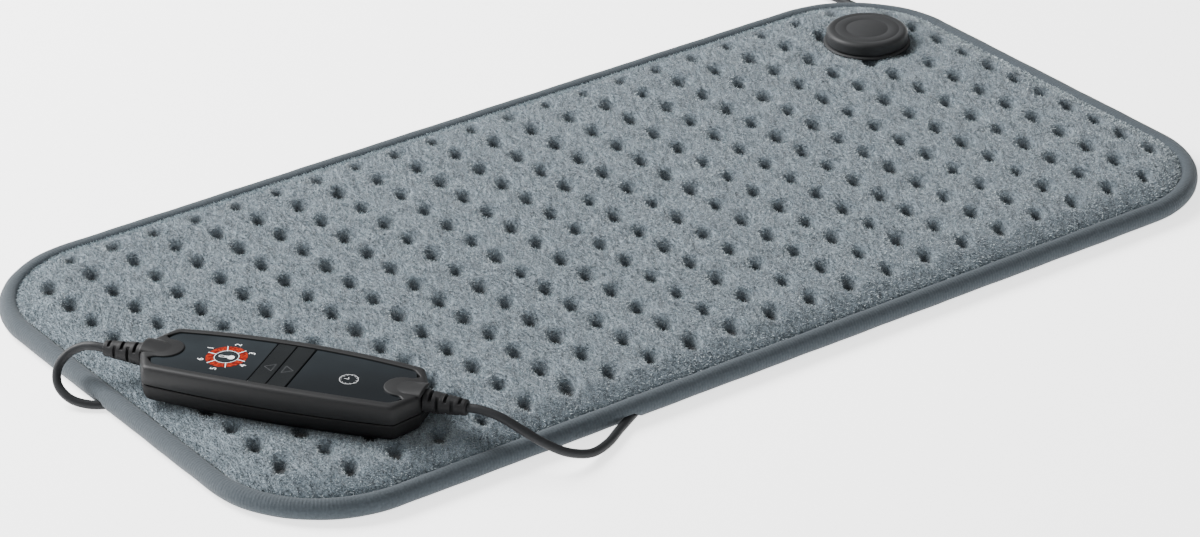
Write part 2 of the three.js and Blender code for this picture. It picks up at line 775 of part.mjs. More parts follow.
piece(group, 'coupling_base', shape_of(coupling_base()), lower_look);
piece(group, 'coupling_flange', coupling_flange(), lower_look);
piece(group, 'coupling_cap', shape_of(coupling_cap()), housing_look);
piece(group, 'coupling_plug', shape_of(coupling_plug()), rubber_look);
pin_places.forEach((y, place) => {
  const from = socket_end_x - pin_reach;
  const to = socket_end_x + pin_root;
  const profile = [[0, from], [pin_radius, from + pin_radius], [pin_radius, to], [0, to]];
  const pin = turned_along_x(profile, y, plug_middle, small_sides);
  piece(group, `contact_pin_${place + 1}`, pin, brass_look);
});
coupling_screw_places.forEach(([x, y], place) => {
  const head = [coupling_head_radius, coupling_head_height];
  const screw = upward_screw(x, y, base_bottom, ...head, coupling_screw_radius, coupling_screw_length);
  piece(group, `coupling_screw_${place + 1}`, screw, steel_look);
});

// Leads in the open
piece(group, 'pad_lead', lead(pad_lead_points), rubber_look);
piece(group, 'mains_lead', lead(mains_lead_points), rubber_look);

// The rest of the mains lead: one unbroken tube that spirals in, climbs a layer, and spirals out again
const coil_turns = 2 * coil_turns_per_layer;
const coil_pitch = cord_diameter + coil_gap;
const climb_turns = 0.5;
class Winding extends THREE.Curve {
  getPoint(share, target = new THREE.Vector3()) {
    const lead_share = 1 / (coil_turns * coil_steps + 2);
    const wound = THREE.MathUtils.clamp((share - lead_share) / (1 - 2 * lead_share), 0, 1);
    const turn = wound * coil_turns;
    const from_reversal = Math.abs(turn - coil_turns_per_layer);
    const radius = coil_inner_radius + coil_pitch * from_reversal;
    const angle = coil_start - turn * Math.PI * 2;
    const climb_start = coil_turns_per_layer - climb_turns / 2;
    const climb = THREE.MathUtils.smoothstep(turn, climb_start, climb_start + climb_turns);
    target.set(coil_x + radius * Math.cos(angle), coil_y + radius * Math.sin(angle), 0);
    target.z = coil_level + coil_pitch * climb;
    const straight = Math.min(share - lead_share, 0) + Math.max(share - 1 + lead_share, 0);
    const reach = straight / lead_share * cord_diameter;
    target.x += coil_heading[0] * reach;
    target.y += coil_heading[1] * reach;
    return target;
  }

  getPointAt(share, target) {
    return this.getPoint(share, target);
  }

  getTangentAt(share, target) {
    return this.getTangent(share, target);
  }
}

// The least distance between stretches of the winding that lie at least half a turn apart
function least_gap(curve, steps) {
  const points = Array.from({ length: steps + 1 }, (_, step) => curve.getPoint(step / steps));
  let least = Infinity;
  const apart = Math.round(coil_steps / 2);
  points.forEach((point, place) => {
    points.slice(place + apart).forEach((other) => {
      least = Math.min(least, point.distanceTo(other));
    });
  });
  return least - cord_diameter;
}

const winding = new Winding();
const winding_steps = coil_turns * coil_steps + 2;
console.log(`mains coil: least gap between turns ${least_gap(winding, winding_steps).toFixed(2)} mm`);
piece(group, 'mains_coil', tube(winding, cord_diameter, winding_steps, coil_sides), rubber_look);

// A band round the bundle, on the side away from the pad
const tie_angle = THREE.MathUtils.degToRad(62);
function coil_tie() {
  const inner_bow = tie_width * tie_width / (8 * (coil_inner_radius - cord_diameter / 2));
  const near = coil_inner_radius - cord_diameter / 2 - inner_bow - seat_gap;
  const far = coil_outer_radius + cord_diameter / 2 + seat_gap;
  const low = floor_gap + tie_thickness;
  const high = coil_level + coil_pitch + cord_diameter / 2 + seat_gap;
  const half = tie_width / 2;
  const top = high + tie_thickness;
  const outer = box(near - tie_thickness, far + tie_thickness, -half, half, floor_gap, top);
  const inner = box(near, far, -half - overrun, half + overrun, low, high);
  return shape_of(cut(solid(outer), solid(inner)));
}
const tie = piece(group, 'coil_tie', coil_tie(), black_look);
tie.position.set(coil_x, coil_y, 0);
tie.rotation.z = tie_angle;

// Mains plug: a flat two-pin body that lies behind the pad, with a slotted relief at its back
const plug_body_length = 35;
const plug_body_front = 26;
const plug_body_back = 15;
const plug_body_height = 13.6;
const plug_body_corner = 3;
const mains_pin_length = 19;
const mains_pin_radius = 2;
const mains_pin_spacing = 18.6;
const mains_pin_root = 6;
const mains_relief_length = 22;
const mains_plug_back = 58.5;
const mains_plug_over = 32.5;
const mains_plug_x = coil_x - mains_plug_back;
const mains_plug_y = coil_y + mains_plug_over;
const mains_plug_turn = THREE.MathUtils.degToRad(140);
const mains_plug_level = floor_gap + plug_body_height / 2;

// A tapered relief along X, ribbed by rows of short slots that swap sides
function slotted_relief(from, to, height) {
  const towards = Math.sign(to - from);
  const profile = [[0, from], [relief_root_radius, from], [relief_tip_radius, to], [0, to]];
  const body = solid(turned_along_x(towards > 0 ? profile : profile.toReversed(), 0, height));
  const reach = relief_root_radius + overrun;
  const core = cord_diameter / 2 + cord_room;
  const slots = Array.from({ length: slot_rows }, (_, row) => {
    const near = from + towards * (row + 1) * slot_pitch - slot_width / 2;
    const far = near + slot_width;
    return [[core, reach], [-reach, -core]].map(([low, high]) => {
      if (row % 2 === 0) return solid(box(near, far, -reach, reach, height + low, height + high));
      return solid(box(near, far, low, high, height - core, height + core));
    });
  });
  return cut(body, ...slots.flat());
}

function mains_plug() {
  const start = mains_relief_length;
  const end = start + plug_body_length;
  const half_height = plug_body_height / 2;
  const corner = plug_body_corner;
  const waist = end - plug_body_length / 2;
  const at = (x, ...sizes) => section_across_x(x, 0, mains_plug_level, ...sizes);
  const body = solid(lofted([
    at(start, relief_root_radius, relief_root_radius, corner),
    at(start + corner, plug_body_back / 2, half_height, corner),
    at(waist, plug_body_front / 2, half_height, corner),
    at(end - corner / 2, plug_body_front / 2, half_height, corner),
    at(end, plug_body_front / 2 - corner / 2, half_height - corner / 2, corner / 2),
  ]));
  const relief = slotted_relief(start + seat_gap, 0, mains_plug_level);
  const bores = [-1, 1].map((side) => {
    const deep = end - mains_pin_root - seat_gap;
    const y = side * mains_pin_spacing / 2;
    return bore_along_x(mains_pin_radius + seat_gap, deep, end + overrun, y, mains_plug_level);
  });
  return cut(join(body, relief), ...bores);
}

const plug_group = new THREE.Group();
plug_group.position.set(mains_plug_x, mains_plug_y, 0);
plug_group.rotation.z = mains_plug_turn;
group.add(plug_group);
piece(plug_group, 'mains_plug', shape_of(mains_plug()), black_look);
[-1, 1].forEach((side, place) => {
  const from = mains_relief_length + plug_body_length - mains_pin_root;
  const to = from + mains_pin_root + mains_pin_length;
  const tip = mains_pin_radius / 2;
  const profile = [[0, from], [mains_pin_radius, from], [mains_pin_radius, to - tip], [tip, to], [0, to]];
  const pin = turned_along_x(profile, side * mains_pin_spacing / 2, mains_plug_level, small_sides);
  piece(plug_group, `mains_pin_${place + 1}`, pin, steel_look);
});

// From the top of the coil into the plug
const coil_exit_level = coil_level + coil_pitch;
function after_coil(distance) {
  return along_coil_line(distance, coil_exit_level);
}
const plug_heading = [Math.cos(mains_plug_turn), Math.sin(mains_plug_turn)];
function before_plug(distance) {
  const x = mains_plug_x - plug_heading[0] * distance;
  return [x, mains_plug_y - plug_heading[1] * distance, mains_plug_level];
}
const mains_tail_points = [
  after_coil(cord_diameter + seat_gap), after_coil(2 * cord_diameter),
  [267.5, 209.5, 8.3], [262, 217, 7.6], before_plug(1.5 * cord_diameter), before_plug(seat_gap),
];
piece(group, 'mains_tail', lead(mains_tail_points), rubber_look);

// Controller: lies flat on the quilted top, its own X axis runs from the pad lead to the mains lead
const controller = new THREE.Group();
controller.position.set(controller_x, controller_y, controller_base);
controller.rotation.z = controller_turn;
group.add(controller);

const body_half = body_length / 2;
const bowed_half = body_half - body_corner;
const body_stations = 7;
const nose_steps = 5;
const parting_bevel = 0.4;
const lower_taper = 3.4;
const lower_edge = 1.6;
const panel_recess = 0.4;
const plate_thickness = 1.44;
const pocket_end_share = 0.62;
const pocket_corner_slope = 1.6;
const tongue_rim = 2.2;
const tongue_end = 2.4;
const key_end_rim = 0.9;
const pocket_depth = panel_recess + panel_thickness + seat_gap;
const plate_depth = pocket_depth + plate_thickness;
const parting = lower_height + seat_gap;
const tongue_half = nose_radius + tongue_rim;
const tongue_length = nose_length + tongue_end;
const anchor_radius = 5;
const anchor_thickness = 1.6;
const key_half_length = body_width / 2 - rim_width - key_end_rim;
const key_left_edge = keys_middle - key_pitch;
const key_right_edge = keys_middle + key_pitch;

// Half the body's width and the height of its top, along its length
function half_width(x) {
  const reach = Math.abs(x);
  const bow = (body_width - body_end_width) / 2;
  if (reach <= bowed_half) return body_width / 2 - bow * (reach / bowed_half) ** 2;
  const share = (reach - bowed_half) / body_corner;
  return THREE.MathUtils.lerp(body_end_width, body_entry_width, share) / 2;
}
function top_height(x) {
  return parting + upper_height - body_arch * (x / body_half) ** 2;
}

// Stations along the body between two ends, with the corners kept where they fall inside
function stations(from, to, extra = []) {
  const even = Array.from({ length: body_stations }, (_, place) => {
    return THREE.MathUtils.lerp(-bowed_half, bowed_half, place / (body_stations - 1));
  });
  const inside = [...even, ...extra].filter((x) => x > from + seat_gap && x < to - seat_gap);
  return [from, ...inside, to].sort((a, b) => a - b);
}

// A slab that follows the body's top between two depths below it, drawn in from its sides
function top_slab(from, to, inset, shallow, deep) {
  return solid(lofted(stations(from, to).map((x) => {
    const past_corner = Math.max(Math.abs(x) - bowed_half + inset * pocket_end_share, 0);
    const straight_half = half_width(Math.min(Math.abs(x), bowed_half)) - inset;
    const half = Math.max(straight_half - past_corner * pocket_corner_slope, inset);
    const high = top_height(x) - shallow;
    const low = top_height(x) - deep;
    return [[x, half, low], [x, half, high], [x, -half, high], [x, -half, low]];
  })));
}

// The tongue of the rim that runs round each cord nose
function tongues(room) {
  return [-1, 1].map((side) => {
    const radius = tongue_half + room;
    const outline = new THREE.Shape();
    const inner = body_half - tongue_length + radius - room;
    outline.moveTo(body_half + overrun, -radius);
    outline.lineTo(body_half + overrun, radius);
    outline.absarc(inner, 0, radius, Math.PI / 2, Math.PI * 1.5);
    const shape = prism(outline, parting, parting + upper_height + overrun, small_sides);
    return solid(side > 0 ? shape : shape.rotateZ(Math.PI));
  });
}

function entry_bores() {
  return [-1, 1].flatMap((side) => {
    const along = (from, to, radius) => {
      const [low, high] = [side * from, side * to].sort((a, b) => a - b);
      return solid(turned_along_x([[0, low], [radius, low], [radius, high], [0, high]], 0, entry_height));
    };
    const anchor = body_half - body_wall;
    return [
      along(anchor - overrun * 2, body_half + overrun, relief_neck_radius + seat_gap),
      along(anchor - seat_gap * 2 - anchor_thickness, anchor, anchor_radius + seat_gap),
    ];
  });
}

const screw_places = [[-1, -1], [1, -1], [1, 1], [-1, 1]].map(([x, y]) => [x * screw_x, y * screw_y]);
const boss_wall = 1.2;

function upper_shell() {
  const outer = solid(lofted(stations(-body_half, body_half).map((x) => {
    const half = half_width(x);
    const high = top_height(x);
    return [
      [x, half - parting_bevel, parting], [x, half, parting + parting_bevel],
      [x, half - side_draft / 2, high - rim_chamfer], [x, half - side_draft / 2 - rim_chamfer, high],
      [x, side_draft / 2 + rim_chamfer - half, high], [x, side_draft / 2 - half, high - rim_chamfer],
      [x, -half, parting + parting_bevel], [x, parting_bevel - half, parting],
    ];
  })));
  const cavity = solid(lofted(stations(body_wall * 2 - body_half, body_half - body_wall * 2).map((x) => {
    const half = half_width(x) - body_wall - side_draft / 2;
    const high = top_height(x) - plate_depth;
    return [[x, half, parting - overrun], [x, half, high], [x, -half, high], [x, -half, parting - overrun]];
  })));
  const pocket = top_slab(rim_width - body_half, body_half - rim_width, rim_width, -overrun, pocket_depth);
  const frame = cut(outer, pocket, cavity);
  const rims = tongues(0).map((tongue) => tongue.intersect(outer));
  const noses = [-1, 1].map((side) => {
    const straight = body_half - nose_length / 3;
    const tip = body_half - nose_length;
    const profile = [[0, body_half], [nose_radius, body_half]];
    for (let step = 0; step < nose_steps; step += 1) {
      const angle = step / nose_steps * Math.PI / 2;
      profile.push([nose_radius * Math.cos(angle), straight - (straight - tip) * Math.sin(angle)]);
    }
    profile.push([0, tip]);
    const dome = turned_along_x(profile.toReversed(), 0, entry_height);
    const reach = body_half + overrun;
    const above = box(tip - overrun, reach, -body_width, body_width, parting, parting + body_width);
    const nose = solid(dome).intersect(solid(above));
    return side > 0 ? nose : nose.rotate([0, 0, 180]);
  });
  const bosses = screw_places.map(([x, y]) => {
    const high = top_height(x) - pocket_depth - seat_gap;
    return solid(disc(screw_radius + seat_gap + boss_wall, parting, high, x, y, small_sides));
  });
  const bores = screw_places.map(([x, y]) => {
    return solid(disc(screw_radius + seat_gap, parting - overrun, screw_top + seat_gap, x, y, small_sides));
  });
  const hole_half = key_half_length + seat_gap;
  const over_top = parting + upper_height;
  const key_hole = solid(box(key_left_edge, key_right_edge, -hole_half, hole_half, parting, over_top));
  const windows = light_windows(seat_gap, parting, over_top);
  const built = join(frame, ...rims, ...noses, ...bosses);
  return cut(built, ...bores, key_hole, ...windows, ...entry_bores());
}

// Ring segments round the level display, drawn in on every side
const light_turn = THREE.MathUtils.degToRad(80);
const light_steps = 4;
const light_gap = 1.1;
const light_margin = 0.3;
function light_windows(drawn_in, low, high) {
  return Array.from({ length: light_count }, (_, place) => {
    const middle = (ring_outer + ring_inner) / 2;
    const half_angle = Math.PI / light_count - (light_gap / 2 + drawn_in) / middle;
    const centre = light_turn + place / light_count * Math.PI * 2;
    const outline = new THREE.Shape();
    const outer = ring_outer - light_margin - drawn_in;
    const inner = ring_inner + light_margin + drawn_in;
    outline.absarc(ring_x, 0, outer, centre - half_angle, centre + half_angle, false);
    outline.absarc(ring_x, 0, inner, centre + half_angle, centre - half_angle, true);
    return solid(prism(outline, low, high, light_steps));
  });
}

function lower_shell() {
  const outer = solid(lofted(stations(-body_half, body_half).map((x) => {
    const half = half_width(x);
    const foot = half - lower_taper;
    return [
      [x, foot, 0], [x, half - lower_edge, lower_edge],
      [x, half, lower_height - parting_bevel], [x, half - parting_bevel, lower_height],
      [x, parting_bevel - half, lower_height], [x, -half, lower_height - parting_bevel],
      [x, lower_edge - half, lower_edge], [x, -foot, 0],
    ];
  })));
  const cavity = solid(lofted(stations(body_wall * 2 - body_half, body_half - body_wall * 2).map((x) => {
    const half = half_width(x) - body_wall;
    const foot = half - lower_edge;
    const high = lower_height + overrun;
    return [[x, foot, body_wall], [x, half, high], [x, -half, high], [x, -foot, body_wall]];
  })));
  const bosses = screw_places.map(([x, y]) => {
    return solid(disc(screw_head_radius + seat_gap + boss_wall, seat_gap, lower_height, x, y, small_sides));
  });
  const head_room = screw_head_height + 2 * seat_gap;
  const bores = screw_places.flatMap(([x, y]) => [
    solid(disc(screw_radius + seat_gap, -overrun, lower_height + overrun, x, y, small_sides)),
    solid(disc(screw_head_radius + seat_gap, -overrun, head_room, x, y, small_sides)),
  ]);
  const ribs = [-1, 1].map((side) => {
    const near = side * board_length / 3 - body_wall / 2;
    const half = board_width / 2 - body_wall;
    return solid(box(near, near + body_wall, -half, half, body_wall / 2, board_level - seat_gap));
  });
  return cut(join(cut(outer, cavity), ...bosses, ...ribs), ...bores, ...entry_bores());
}

// Level and timer windows: thin plates let into the pocket, with the nose tongues cut out of their ends
const end_room = rim_width + seat_gap;
function panel(from, to) {
  const plate = top_slab(from, to, end_room, panel_recess, panel_recess + panel_thickness);
  return cut(plate, ...tongues(seat_gap));
}

function left_panel() {
  const groove = new THREE.Shape();
  groove.absarc(ring_x, 0, ring_outer, 0, Math.PI * 2);
  const hole = new THREE.Path();
  hole.absarc(ring_x, 0, ring_inner, 0, Math.PI * 2);
  groove.holes.push(hole);
  const ring = solid(prism(groove, parting, parting + upper_height + overrun, small_sides));
  const depth = panel_recess + light_groove;
  const skin = top_slab(rim_width - body_half, key_left_edge, seat_gap, -overrun, depth);
  return cut(panel(end_room - body_half, key_left_edge - seat_gap), ring.intersect(skin));
}

function level_light(window) {
  const low = panel_recess + light_thickness;
  const skin = top_slab(rim_width - body_half, key_left_edge, seat_gap, panel_recess, low);
  return window.intersect(skin);
}

// A key with a lip that stops it under the plate, a stem over its switch and a triangle sunk in its top
const key_lip = 1;
const key_lip_reach = 1.2;
const triangle_size = 5.2;
const triangle_share = 0.6;
const triangle_line = 0.5;
const triangle_depth = 0.3;
const key_names = ['key_left', 'key_right'];
const switch_x = [-1, 1].map((side) => keys_middle + side * key_pitch / 2);
const board_top = board_level + board_thickness;
const switch_top = board_top + seat_gap + switch_height;
const plunger_height = 0.8;
const stem_gap = 0.2;
const stem_room = key_travel + stem_gap;
const screw_top = seat_gap + screw_head_height + screw_length;

function triangle(x, towards, size) {
  const outline = new THREE.Shape();
  outline.moveTo(x + towards * size / 2, 0);
  outline.lineTo(x - towards * size / 2, size * triangle_share);
  outline.lineTo(x - towards * size / 2, -size * triangle_share);
  outline.closePath();
  return solid(prism(outline, parting, parting + upper_height + overrun));
}

function key(side) {
  const middle = keys_middle + side * key_pitch / 2;
  const from = middle - key_pitch / 2 + (side < 0 ? seat_gap : seat_gap / 2);
  const to = middle + key_pitch / 2 - (side < 0 ? seat_gap / 2 : seat_gap);
  const half = key_half_length;
  const ceiling = top_height(key_left_edge) - plate_depth;
  const cap = top_slab(from, to, body_width / 2 - half, panel_recess, plate_depth + seat_gap + key_lip / 2);
  const lip_half = half + key_lip_reach;
  const lip_top = ceiling - seat_gap;
  const lip = solid(box(from, to, -lip_half, lip_half, lip_top - key_lip, lip_top));
  const stem_low = switch_top + plunger_height + stem_room;
  const stem = solid(disc(plunger_radius, stem_low, ceiling, middle, 0, small_sides));
  const inner_size = triangle_size - 3 * triangle_line;
  const mark = cut(triangle(middle, side, triangle_size), triangle(middle, side, inner_size));
  const skin = top_slab(from - overrun, to + overrun, seat_gap, -overrun, panel_recess + triangle_depth);
  return cut(join(cap, lip, stem), mark.intersect(skin));
}

piece(controller, 'lower_shell', shape_of(lower_shell()), lower_look);
piece(controller, 'upper_shell', shape_of(upper_shell()), housing_look);
piece(controller, 'left_panel', shape_of(left_panel()), panel_look);
const right_plate = panel(key_right_edge + seat_gap, body_half - end_room);
piece(controller, 'right_panel', shape_of(right_plate), panel_look);
light_windows(0, parting, parting + upper_height + overrun).forEach((window, place) => {
  piece(controller, `level_light_${place + 1}`, shape_of(level_light(window)), light_look);
});
key_names.forEach((name, place) => {
  piece(controller, name, shape_of(key(place * 2 - 1)), key_look);
});

// Board and what stands on it
function board() {
  const half_x = board_length / 2;
  const half_y = board_width / 2;
  return box(-half_x, half_x, -half_y, half_y, board_level, board_top);
}

function tact_switch(x) {
  const half = switch_size / 2;
  const low = board_top + seat_gap;
  const body = solid(box(x - half, x + half, -half, half, low, switch_top));
  const plunger_top = switch_top + plunger_height;
  const plunger = solid(disc(plunger_radius, switch_top - seat_gap, plunger_top, x, 0, small_sides));
  return shape_of(join(body, plunger));
}

const guide_wall = 1.4;
function light_guide() {
  const low = board_top + seat_gap;
  const high = top_height(ring_x - ring_outer) - plate_depth - seat_gap;
  const inner = ring_inner - guide_wall / 2;
  const outer = ring_outer - seat_gap;
  return ring_between(inner, outer, low, high, ring_x, 0);
}

const fuse_radius = 2.6;
const fuse_length = 20;
const fuse_from_end = 3;
const fuse_x = board_length / 2 - fuse_from_end - fuse_length;
const fuse_y = 8.5;
function fuse() {
  const profile = [
    [0, fuse_x], [fuse_radius, fuse_x], [fuse_radius, fuse_x + fuse_length], [0, fuse_x + fuse_length],
  ];
  return turned_along_x(profile, fuse_y, board_top + seat_gap + fuse_radius, small_sides);
}

const capacitor_size = [13, 6, 6.4];
const capacitor_from_end = 13;
const capacitor_x = board_length / 2 - capacitor_from_end;
const capacitor_y = -8;
const triac_size = [5, 4, 5.5];
const triac_from_capacitor = 14;
const triac_x = capacitor_x - triac_from_capacitor;
const triac_y = -9;
function block(size, x, y) {
  const [length, width, height] = size;
  const low = board_top + seat_gap;
  return box(x - length / 2, x + length / 2, y - width / 2, y + width / 2, low, low + height);
}

piece(controller, 'circuit_board', board(), board_look);
piece(controller, 'light_guide', light_guide(), diffuser_look);
switch_x.forEach((x, place) => piece(controller, `tact_switch_${place + 1}`, tact_switch(x), black_look));
piece(controller, 'fuse', fuse(), diffuser_look);
piece(controller, 'capacitor', block(capacitor_size, capacitor_x, capacitor_y), panel_look);
piece(controller, 'power_switch', block(triac_size, triac_x, triac_y), black_look);
screw_places.forEach(([x, y], place) => {
  const head = [screw_head_radius, screw_head_height];
  const screw = upward_screw(x, y, seat_gap, ...head, screw_radius, screw_length);
  piece(controller, `housing_screw_${place + 1}`, screw, steel_look);
});

// Slotted reliefs at both ends, each with a neck and an anchor disc behind the end wall
function strain_relief() {
  const from = body_half + seat_gap;
  const anchor = body_half - body_wall - seat_gap;
  const inner = anchor - anchor_thickness;
  const relief = slotted_relief(from, from + relief_length, entry_height);
  const neck = turned_along_x([
    [0, inner], [anchor_radius, inner], [anchor_radius, anchor], [relief_neck_radius, anchor],
    [relief_neck_radius, from + seat_gap], [0, from + seat_gap],
  ], 0, entry_height);
  return join(relief, solid(neck));
}
piece(controller, 'strain_relief_left', shape_of(strain_relief().rotate([0, 0, 180])), rubber_look);
piece(controller, 'strain_relief_right', shape_of(strain_relief()), rubber_look);

export default group;
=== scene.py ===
# %% [markdown]
# This is a quilted heating pad with its hand controller, dressed in Blender round the imported solids. Bodies
# could be told apart by collections or empties, but the imported record names them already. So the frame comes
# first, and every piece made here, save the two leads and the floor, rides on one of its bodies. Sizes are in
# millimetres, as in the part's source, and become metres when a mesh is made.

# %% Frame
import json
import math
import bmesh
import bpy
import numpy as np
from mathutils import Matrix, Vector

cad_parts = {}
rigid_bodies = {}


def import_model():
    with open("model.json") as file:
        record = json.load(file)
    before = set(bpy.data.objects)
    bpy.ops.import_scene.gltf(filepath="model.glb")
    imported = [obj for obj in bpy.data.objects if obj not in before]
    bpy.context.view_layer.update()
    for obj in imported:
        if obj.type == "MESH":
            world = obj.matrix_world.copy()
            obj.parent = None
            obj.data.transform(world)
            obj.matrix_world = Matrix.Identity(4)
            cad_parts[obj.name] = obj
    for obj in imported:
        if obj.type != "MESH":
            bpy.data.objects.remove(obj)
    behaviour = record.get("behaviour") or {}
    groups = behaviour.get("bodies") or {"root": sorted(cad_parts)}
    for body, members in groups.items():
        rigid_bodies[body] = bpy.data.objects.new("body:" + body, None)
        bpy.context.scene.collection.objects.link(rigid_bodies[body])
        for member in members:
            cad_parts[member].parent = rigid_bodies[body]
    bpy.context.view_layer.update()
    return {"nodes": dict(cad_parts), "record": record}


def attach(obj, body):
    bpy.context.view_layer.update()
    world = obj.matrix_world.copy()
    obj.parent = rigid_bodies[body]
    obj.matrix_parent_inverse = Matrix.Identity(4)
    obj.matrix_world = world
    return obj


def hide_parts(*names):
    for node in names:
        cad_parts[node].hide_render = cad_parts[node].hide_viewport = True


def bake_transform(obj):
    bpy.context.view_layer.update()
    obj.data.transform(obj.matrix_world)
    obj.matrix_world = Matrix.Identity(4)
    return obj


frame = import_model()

mm = 0.001

# %% [markdown]
# The camera stands where the photograph was taken from. It could be moved by hand until the pad fits the
# picture, but the pad's even lattice of tufts gives its place and lens by calculation, so those numbers stand
# here. The lens is long, so the pad's far side looks hardly smaller than its near side.

# %% Camera
camera_place = Vector((-1.13879, -1.58962, 1.01723))
camera_forward = Vector((0.51242, 0.72065, -0.46699)).normalized()
camera_up = Vector((0.2848, 0.3704, 0.8841))


def linked(name, data):
    """A new object of that data, in the scene."""
    thing = bpy.data.objects.new(name, data)
    bpy.context.collection.objects.link(thing)
    return thing


def look_matrix(place, forward, up):
    """A camera or lamp at that place, looking along forward."""
    right = forward.cross(up).normalized()
    return Matrix.Translation(place) @ Matrix((right, right.cross(forward), -forward)).transposed().to_4x4()


camera_data = bpy.data.cameras.new("camera")
camera_data.lens = 127.8
camera_data.sensor_width = 36
camera_data.clip_end = 50
camera = linked("camera", camera_data)
camera.matrix_world = look_matrix(camera_place, camera_forward, camera_up)
bpy.context.scene.camera = camera
print("camera:", round(camera_place.length, 2), "m from the pad's middle")

# %% [markdown]
# Every piece of this pad is made from a list of points and a list of faces. Operators such as extrude and
# bevel would do for one shape, but they depend on what is selected, while a mesh from data comes out the same
# each time. This helper also says which body carries the piece, which material slot it has and which CAD node
# it stands for.

# %% Mesh helpers
def mesh_object(name, points, faces, look, body, node=None, scale=mm, smooth=True):
    """A piece from points in millimetres, which rides on a body and may stand for a CAD node."""
    mesh = bpy.data.meshes.new(name)
    mesh.from_pydata((np.asarray(points, float) * scale).tolist(), [], [list(face) for face in faces])
    mesh.validate()
    mesh.materials.append(look)
    mesh.polygons.foreach_set("use_smooth", [smooth] * len(mesh.polygons))
    piece = linked(name, mesh)
    if body:
        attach(piece, body)
    if node:
        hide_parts(node)
    return piece


def evaluated_mesh(holder):
    """The mesh that a text or a tree makes of an object, which goes away."""
    bpy.context.view_layer.update()
    mesh = bpy.data.meshes.new_from_object(holder.evaluated_get(bpy.context.evaluated_depsgraph_get()))
    bpy.data.objects.remove(holder)
    return mesh


# %% [markdown]
# Shells, cords, keys and pins are all rings of points joined by quads. Curves with a bevel, or the Skin and
# Screw modifiers, could make them too, but rings show at once where each edge of the real moulding lies.
# Edges steeper than an angle are marked sharp afterwards, so that the shading breaks there and stays smooth
# everywhere else.

# %% Lofts
def point_grid(rows, count):
    return np.arange(rows * count).reshape(rows, count)


def grid_quads(index, turned=False):
    """Quads between the neighbours in a grid of point numbers, facing the other way if turned."""
    quads = np.stack([index[:-1, :-1], index[1:, :-1], index[1:, 1:], index[:-1, 1:]], axis=-1).reshape(-1, 4)
    return quads[:, [0, 3, 2, 1]] if turned else quads


def ring_faces(rings, sides, closed, bottom=True, top=True):
    """Faces of a loft through rings of as many points each, closed to a loop or with a cap at each end."""
    index = point_grid(rings, sides)
    walls = np.c_[index, index[:, 0]]
    if closed:
        return grid_quads(np.r_[walls, walls[:1]], turned=True).tolist()
    caps = [index[0, ::-1].tolist()] * bottom + [index[-1].tolist()] * top
    return grid_quads(walls, turned=True).tolist() + caps


def outward(piece):
    """Turns a closed piece's faces outwards."""
    work = bmesh.new()
    work.from_mesh(piece.data)
    bmesh.ops.recalc_face_normals(work, faces=work.faces)
    work.to_mesh(piece.data)
    work.free()
    return piece


def loft(name, rings, look, body, node=None, crisp=180, closed=False):
    """A closed piece through rings of as many points each, with edges steeper than an angle kept crisp."""
    rings = np.asarray(rings, float)
    faces = ring_faces(*rings.shape[:2], closed)
    piece = outward(mesh_object(name, rings.reshape(-1, 3), faces, look, body, node))
    piece.data.set_sharp_from_angle(angle=math.radians(crisp))
    return piece


def add_attribute(piece, name, values):
    attribute = piece.data.attributes.new(name, "FLOAT", "POINT")
    attribute.data.foreach_set("value", values.astype(np.float32))


print("faces of a small loft:", len(ring_faces(3, 8, False)))

# %% [markdown]
# Turned parts come from a profile swung round an axis, and cords from a circle led along a line. A curve's
# bevel would do for the cords, but their lines are needed again later, where the layers of the pad arch over
# them. Each ring of a tube is turned as little as possible from the one before, so the tube doesn't twist.

# %% Lines and tubes
def circle(sides):
    """The cosines and sines of evenly spread angles."""
    angles = np.arange(sides) / sides * 2 * math.pi
    return np.cos(angles), np.sin(angles)


def way_at(angle):
    return np.array([math.cos(angle), math.sin(angle)])


def turned_rings(profile, sides):
    """Rings of a turned shape from [radius, height] pairs, round Z."""
    cos, sin = circle(sides)
    return np.array([np.c_[r * cos, r * sin, np.full(sides, z)] for r, z in profile])


def turn_matrix(turn):
    cos, sin = way_at(turn)
    return np.array([[cos, -sin, 0], [sin, cos, 0], [0, 0, 1]])


def laid(points, turn, place):
    """Points on a piece's own axes, turned about Z and moved to its place."""
    return np.asarray(points, float) @ turn_matrix(turn).T + place


def line_steps(line):
    return np.linalg.norm(np.diff(line, axis=0), axis=1)


def centripetal(points, per_span):
    """A smooth line through chosen points, as the part's source runs its leads."""
    points = np.asarray(points, float)
    knots = np.vstack([2 * points[0] - points[1], points, 2 * points[-1] - points[-2]])
    line = []
    for span in range(len(points) - 1):
        p0, p1, p2, p3 = knots[span:span + 4]
        d01, d12, d23 = (max(np.linalg.norm(b - a), 1e-6) ** 0.5 for a, b in ((p0, p1), (p1, p2), (p2, p3)))
        t1 = ((p1 - p0) / d01 - (p2 - p0) / (d01 + d12) + (p2 - p1) / d12) * d12
        t2 = ((p2 - p1) / d12 - (p3 - p1) / (d12 + d23) + (p3 - p2) / d23) * d12
        for t in np.arange(per_span) / per_span:
            square, cube = -3 * p1 + 3 * p2 - 2 * t1 - t2, 2 * p1 - 2 * p2 + t1 + t2
            line.append(p1 + t1 * t + square * t ** 2 + cube * t ** 3)
    return np.array([*line, points[-1]])


